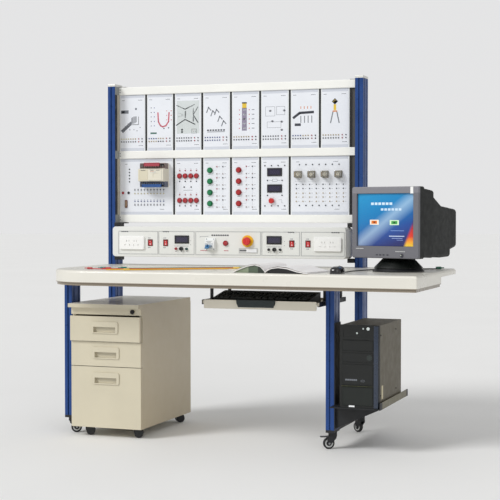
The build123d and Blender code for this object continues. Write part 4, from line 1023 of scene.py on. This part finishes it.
def screenPictureWithHighlight():
    mat, tree, shader, coords = startFinish("tubeFace")
    slope = along(tree, coords, tilted(0.35, -1))
    colour = ramp(tree, remap(tree, slope, -0.966, -0.626), [
        (0, "2494c8"), (0.4, "1277b4"), (0.68, "1a4794"), (0.86, "1a256a"), (1, "14164a")])
    # a pale diagonal band across the picture is a painted highlight, and it glows with the picture
    band = along(tree, coords, tilted(-0.71, 1))
    paintedHighlight = times(tree, remap(tree, band, 0.484, 0.545, 0, 0.62), remap(tree, band, 0.598, 0.55, 0, 0.62))
    colour = blendColours(tree, paintedHighlight, colour, tint("d3ecf8"))
    height = along(tree, coords, zAxis)
    flare = ramp(tree, remap(tree, height, 0.914, 1.045), [
        (0, "f3d23a"), (0.18, "ef9a26"), (0.36, "d8341f"), (0.66, "b51d27"), (0.85, "3a1540"), (1, "12193f")])
    corner = remap(tree, along(tree, coords, tilted(1, -0.436)), 0.370, 0.384)
    colour = blendColours(tree, corner, colour, flare)
    side, middle = along(tree, coords, across), 0.6774
    signs = [(-0.0775 + 0.0198 * j, -0.0625 + 0.0198 * j, 1.099, 1.110, "cfe4f2") for j in range(6)]
    signs += [(-0.024 + 0.0189 * j, -0.010 + 0.0189 * j, 1.074, 1.084, "c4dcef") for j in range(6)]
    signs += [(-0.083, -0.035, 1.011, 1.033, "f6ead6"), (-0.075, -0.044, 1.015, 1.029, "df7424"),
              (-0.064, -0.053, 1.018, 1.026, "7a2f14"), (0.024, 0.072, 1.010, 1.032, "d4f0c8"),
              (0.032, 0.064, 1.014, 1.028, "3f9c4c"), (0.043, 0.054, 1.017, 1.025, "164f26"),
              (0.028, 0.098, 0.984, 0.9862, "7e9fd8"), (0.02, 0.1, 0.959, 0.9625, "c5d4ef"),
              (0.034, 0.09, 0.9505, 0.9525, "9db2e0"), (0.06, 0.092, 0.9425, 0.9445, "7f97cf")]
    for left, right, low, high, code in signs:
        mask = times(tree, between(tree, side, middle + left, middle + right),
                     between(tree, height, low, high))
        colour = blendColours(tree, mask, colour, tint(code))
    tree.links.new(colour, shader.inputs["Base Color"])
    tree.links.new(colour, shader.inputs["Emission Color"])
    shader.inputs["Emission Strength"].default_value = 0.08
    dust = remap(tree, noise(tree, coords, 30, 4), 0.3, 0.7, 0.08, 0.17)
    tree.links.new(dust, shader.inputs["Roughness"])
    shader.inputs["Coat Weight"].default_value = 0.1
    return mat


def onMonitor(made, name, mat, **look):
    shape = join(made) if isinstance(made, list) else made
    shape.location = monitor["place"]
    shape.rotation_euler = monitor["turn"]
    return wear(shape, name, mat, "monitor", **look)


front = monitor["front"]
bpy.ops.mesh.primitive_grid_add(x_subdivisions=16, y_subdivisions=12, size=1, rotation=(radians(90), 0, 0))
tube = bpy.context.object
tube.scale = (0.3012, 0.2332, 1)
tube.location = (0, front + 0.0085, 1.033)
settle(tube)
editAll(tube)
extrude(0, 0.004, 0)
leaveEdit()
for vert in tube.data.vertices:
    reach = (vert.co.x / 0.15) ** 2 * 0.6 + ((vert.co.z - 1.033) / 0.117) ** 2 * 0.4
    vert.co.y += 0.0045 * (reach - 0.5)
fixNormals(tube)
smooth(tube, 40)
onMonitor(tube, "tubeFace", screenPictureWithHighlight())
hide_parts("monitor_screen")
skirt = {"low": 0.112, "high": 0.068, "tall": 0.045, "base": 0.8165}
bpy.ops.mesh.primitive_cone_add(vertices=48, radius1=skirt["low"], radius2=skirt["high"], depth=skirt["tall"],
                                location=(0.719, -0.005, skirt["base"] + skirt["tall"] / 2))
cone = settle(bpy.context.object)
soften(cone, 0.005, 3)
wear(cone, "footSkirt", "131715", rough=0.35)
bezelDark = finish("bezelDark", "3a3b44", rough=0.4)
buttons = [lid((x - 0.0045, x + 0.0045), (front - 0.0022, front + 0.001), (0.8748, 0.8802), 0.0012, 0.0008,
               0.0008) for x in (-0.040, -0.022, -0.004, 0.017)]
onMonitor(buttons, "chinButtons", bezelDark)
power = drum(0.0085, 0.0035, 20, (0.0926, front - 0.0028, 0.876))
hollowFront(power, 0.0022, 0.0008)
soften(power, 0.0004, 1)
onMonitor(power, "monitorPower", bezelDark)
lightDot = hollowFront(drum(0.0024, 0.002, 12, (0.0895, front - 0.0042, 0.8775)), 0.0008, -0.0004)
onMonitor(lightDot, "monitorLight", "d7dccb", rough=0.3, coat=0.3)
tab = lid((0.1365, 0.1515), (front - 0.0014, front + 0.0005), (1.1485, 1.1785), 0.0016, 0.0005, 0.0004)
onMonitor(tab, "bezelTab", "f1f1ef", rough=0.4, bump=0.05, vary=0.02)
captions = [twinOf(tile, (x + 0.0072 * j, front - 0.0002, z), size=(0.0054, 1, 0.0034))
            for x, z, count in ((-0.152, 0.904, 6), (0.062, 0.8935, 7)) for j in range(count)]
onMonitor(captions, "bezelCaptions", inkOf["rim"])
rearPlate = lid((-0.095, 0.095), (-0.2888, -0.2848), (0.935, 1.055), 0.004, 0.0015, 0.002)
rearPlate.rotation_euler = (0, 0, pi)
settle(rearPlate)
onMonitor(rearPlate, "monitorRearPlate", "161a19", rough=0.6, bump=0.15)
vent = slab((-0.03, 0.03), (0.2846, 0.2872), (-0.0012, 0.0012), 0.0006, 1)
vents = [twinOf(vent, (x, 0, 0.95 + 0.009 * j)) for x in (-0.045, 0.045) for j in range(11)]
onMonitor(vents, "monitorVents", "0a0c0c", rough=0.7, grain=700)
scrap(vent)

# Mouse: rounded shell with painted splits, and a wheel
hull = {"place": (0.52, -0.3, 0.8002), "size": (0.0272, 0.0512, 0.0332), "square": 0.62, "base": 0.8004}
bpy.ops.mesh.primitive_uv_sphere_add(segments=32, ring_count=20, radius=1, location=hull["place"])
shell = bpy.context.object
shell.scale = hull["size"]
settle(shell)
for vert in shell.data.vertices:
    for axis, (middle, half) in enumerate(zip(hull["place"], hull["size"])):
        reach = (vert.co[axis] - middle) / half
        vert.co[axis] = middle + half * abs(reach) ** hull["square"] * (1 if reach > 0 else -1)
    vert.co.z = max(vert.co.z, hull["base"])
editAll(shell, "VERT")
bpy.ops.mesh.remove_doubles(threshold=0.0004)
leaveEdit()
smooth(shell, 50)
wear(shell, "mouseShell", finish("mouseBlack", "0c0d0f", rough=0.16, bump=0.02, coat=0.8, zones=[
    ([(xAxis, 0.5192, 0.5208), (yAxis, -0.302, -0.24)], "010101"),
    ([(yAxis, -0.3032, -0.3018)], "010101"), ([(zAxis, 0.8, 0.8065)], "2a2b2e")]))
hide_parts("mouse")
wheel = drum(0.0062, 0.0064, 24, (0, -0.0032, 0))
hollowFront(wheel, 0.002, 0.0006)
wheel.rotation_euler = (0, 0, radians(90))
wheel.location = (0.52, -0.268, 0.8275)
wear(wheel, "mouseWheel", "3d3f43", rough=0.5, grain=1200, bump=0.3)

# Open book: a cover under the pages and a loose leaf over them, on each side of the spine
book = {"spine": (0.212, -0.374, 0.8), "turn": (0, 0, radians(-8)),
        "left": ((-158, 4), (-128, 17), (-90, 31), (-52, 38), (-24, 31), (-7, 16), (0, 5)),
        "right": ((8, 13), (30, 23), (64, 28), (106, 24), (152, 12), (193, 5), (206, 4))}


def heightAt(points, x):
    for (xa, za), (xb, zb) in zip(points, points[1:]):
        if xa <= x <= xb:
            return (za + (zb - za) * (x - xa) / (xb - xa)) / 1000
    return points[-1][1] / 1000


def archSheet(points, start, stop, front, back, drop, thick, name, mat, flatTo=None):
    bpy.ops.mesh.primitive_grid_add(x_subdivisions=26, y_subdivisions=4, size=1)
    sheet = bpy.context.object
    sheet.scale = ((stop - start) / 1000, (back - front) / 1000, 1)
    sheet.location = ((start + stop) / 2000, (front + back) / 2000, 0)
    settle(sheet)
    editAll(sheet)
    extrude(0, 0, -1)
    leaveEdit()
    for vert in sheet.data.vertices:
        level = max(0.0006 + max(0, thick), heightAt(points, vert.co.x * 1000) - drop)
        if vert.co.z < -0.5:
            vert.co.z = flatTo if flatTo is not None else level - thick
        else:
            vert.co.z = level
    fixNormals(sheet)
    smooth(sheet, 50)
    sheet.location = book["spine"]
    sheet.rotation_euler = book["turn"]
    return wear(sheet, name, mat)


dress(["manual"], "bookPaper", "e4e1df", rough=0.7, grain=160, bump=0.12, patch=9, vary=0.03)
leftward = (cos(radians(8)), -sin(radians(8)), 0)
archSheet(book["left"], -150, -2, 5, 246, 0.0047, 0, "coverLeft",
          finish("coverOlive", "7f8a74", rough=0.5, grain=500, bump=0.15, patch=16, vary=0.16, zones=[
              ([(leftward, 0.178, 0.225)], "52604f"),
              ([(leftward, 0.225, 0.4)], "2c352d")]), 0.0003)
archSheet(book["right"], 10, 168, 5, 246, 0.0047, 0, "coverRight",
          finish("coverBlack", "0e0f10", rough=0.5, grain=500, bump=0.15, patch=16, vary=0.1), 0.0003)
leafPaper = finish("leafPaper", "efecea", rough=0.7, grain=160, patch=9, vary=0.02)
archSheet([(x, z + 2.2) for x, z in book["left"]], -146, -4, 2, 249, 0, 0.0004, "leafLeft", leafPaper)
lifted = [(x, z + 3.2 * (1 - abs(x - 90) / 140)) for x, z in book["right"]]
archSheet(lifted, 12, 198, 1, 249, -0.0008, 0.0004, "leafRight", leafPaper)

# Pedestal: lock and its keyway
lock = drum(0.0105, 0.006, 24, (-0.506, -0.2105, 0.599))
hollowFront(lock, 0.0026, 0.0012)
soften(lock, 0.0005, 1)
wear(lock, "pedestalLock", blackScrew, "pedestal")
keyway = lid((-0.507, -0.505), (-0.2108, -0.2088), (0.595, 0.603), 0.0004, 0.0006, 0.0003)
wear(keyway, "lockSlot", blackScrew, "pedestal")

# Computer: bays, door, trims, lights, badge, side screws and sticker
bayBlack = finish("bayBlack", "070b09", rough=0.42, patch=20, vary=0.12)
bays = [lid((0.5215, 0.6625), (-0.2322, -0.2298), (low, high), 0.0022, 0.0008, 0.001)
        for low, high in ((0.458, 0.505), (0.408, 0.450), (0.309, 0.400))]
wear(bays, "towerBays", bayBlack)
lowerDoor = lid((0.5215, 0.6625), (-0.2326, -0.2298), (0.218, 0.2995), 0.003, 0.001, 0.0014)
wear(lowerDoor, "towerDoor", "0a120d", rough=0.4, patch=20, vary=0.12)
edgeTrim = slab((0.6655, 0.6865), (-0.2332, -0.2285), (0.2085, 0.5695), 0.0022, 3)
wear(edgeTrim, "towerTrim", "222d3f", rough=0.3, grain=700, coat=0.3, vary=0.12)
goldLine = slab((0.519, 0.658), (-0.2334, -0.2318), (0.3022, 0.3042), 0.0005, 1)
wear(goldLine, "towerLine", "55583a", rough=0.3, metal=0.6)
for name, x, z, radius, code in (("powerButton", 0.640, 0.557, 0.0072, "dfe8e6"),
                                 ("driveLight", 0.618, 0.557, 0.0036, "cfd8d6"),
                                 ("resetLight", 0.590, 0.537, 0.0042, "c2ccc9")):
    knob = hollowFront(drum(radius, 0.003, 18, (x, -0.2325, z)), radius * 0.3, 0.0006)
    soften(knob, 0.0003, 1)
    wear(knob, name, code, rough=0.3, coat=0.3, vary=0.05)
badge = hollowFront(drum(0.0125, 0.0016, 24, (0.646, -0.2324, 0.430)), 0.0028, 0.0008)
wear(badge, "towerBadge", "343a38", rough=0.3, metal=0.4)
dashes("grey", 6, 0.541, 0.0092, 0.331, 0.007, 0.0075, -0.2322)
ring("grey", 0.6165, 0.328, 0.018, 0.008, 0.0016, 12, -0.2322)
bar("white", 0.566, 0.2145, 0.026, 0.0075, 0, -0.2302)
printMarks("tower")
sideSpots = [(0.083, 0.533), (-0.19, 0.527), (0.087, 0.261), (-0.19, 0.261)]
sideScrews = [twinOf(screw, (0.6862, y, z), (0, 0, radians(90)), (1, 1, 1)) for y, z in sideSpots]
wear(sideScrews, "sideScrews", blackScrew)
sticker = twinOf(tile, (0.6861, -0.160, 0.272), (0, 0, radians(90)), (0.026, 1, 0.06))
wear(sticker, "sideSticker", "c9bf9d", rough=0.5, grain=500, bump=0.05)

# Casters: pale rings in the wheels and axle bolts on the forks
caster = {"trail": 0.018, "axle": 0.026, "ring": 0.0077, "bolt": 0.0138,
          "spots": ((-0.868, -0.115, 300), (0.445, -0.115, 119), (0.445, 0.36, 57), (-0.868, 0.36, 345))}
ringDisc = hollowFront(drum(0.0182, 0.0007, 28), 0.0008, 0.0001)
paleRing = finish("wheelRing", "c6c8c6", rough=0.4, grain=700, bump=0.08, vary=0.05)


def bothSides(shape, out, size=(1, 1, 1)):
    return [twinOf(shape, (cx + side * out * cos(turn), cy + side * out * sin(turn), caster["axle"]),
                   (0, 0, turn + side * pi / 2), size) for side in (1, -1)]


for k, (x, y, angle) in enumerate(caster["spots"], 1):
    turn = radians(angle)
    cx, cy = x - caster["trail"] * sin(turn), y + caster["trail"] * cos(turn)
    wear(bothSides(ringDisc, caster["ring"]), f"wheelRing{k}", paleRing, f"wheel_{k}")
    wear(bothSides(screw, caster["bolt"], (1.3, 1, 1.3)), f"axleBolts{k}", steelGrey, f"fork_{k}")
scrap(ringDisc)

# Screws of the left rail ends
copies = [twinOf(screw, (-0.8405, 0.3631, z), size=(0.8, 0.8, 0.8))
          for z in (1.682, 1.695, 1.355, 1.368, 1.028, 1.041)]
wear(copies, "railScrews", steelGrey)
print("computer and casters dressed")
scrap(socket)

# Floor and light
bpy.ops.mesh.primitive_circle_add(vertices=96, radius=60, fill_type="NGON", location=(0, 0, -0.0005))
floor = settle(bpy.context.object)
editAll(floor)
bpy.ops.mesh.inset(thickness=54)
leaveEdit()
floor.name = "floor"
floor.data.materials.append(finish("floorPale", "f2f2f1", rough=0.75, grain=40, bump=0.01, patch=0.6,
                                   vary=0.01))
sky = bpy.data.worlds.new("studio")
bpy.context.scene.world = sky
sky.use_nodes = True
skyTree = sky.node_tree
skyOut = skyTree.nodes["World Output"]
lightFill = skyTree.nodes["Background"]
lightFill.inputs["Color"].default_value = (1, 1, 1, 1)
lightFill.inputs["Strength"].default_value = 0.5
paleView = skyTree.nodes.new("ShaderNodeBackground")
paleView.inputs["Color"].default_value = (0.78, 0.78, 0.785, 1)
paths = skyTree.nodes.new("ShaderNodeLightPath")
choose = skyTree.nodes.new("ShaderNodeMixShader")
skyTree.links.new(paths.outputs["Is Camera Ray"], choose.inputs[0])
skyTree.links.new(lightFill.outputs[0], choose.inputs[1])
skyTree.links.new(paleView.outputs[0], choose.inputs[2])
skyTree.links.new(choose.outputs[0], skyOut.inputs["Surface"])
for name, energy, turn, angle in (("key", 1.7, (52, 0, -38), 22), ("fill", 0.45, (60, 0, 40), 50)):
    bpy.ops.object.light_add(type="SUN", rotation=[radians(a) for a in turn])
    lamp = bpy.context.object
    lamp.name = name
    lamp.data.energy = energy
    lamp.data.angle = radians(angle)

scrap(tile, disc, screw, tooth)
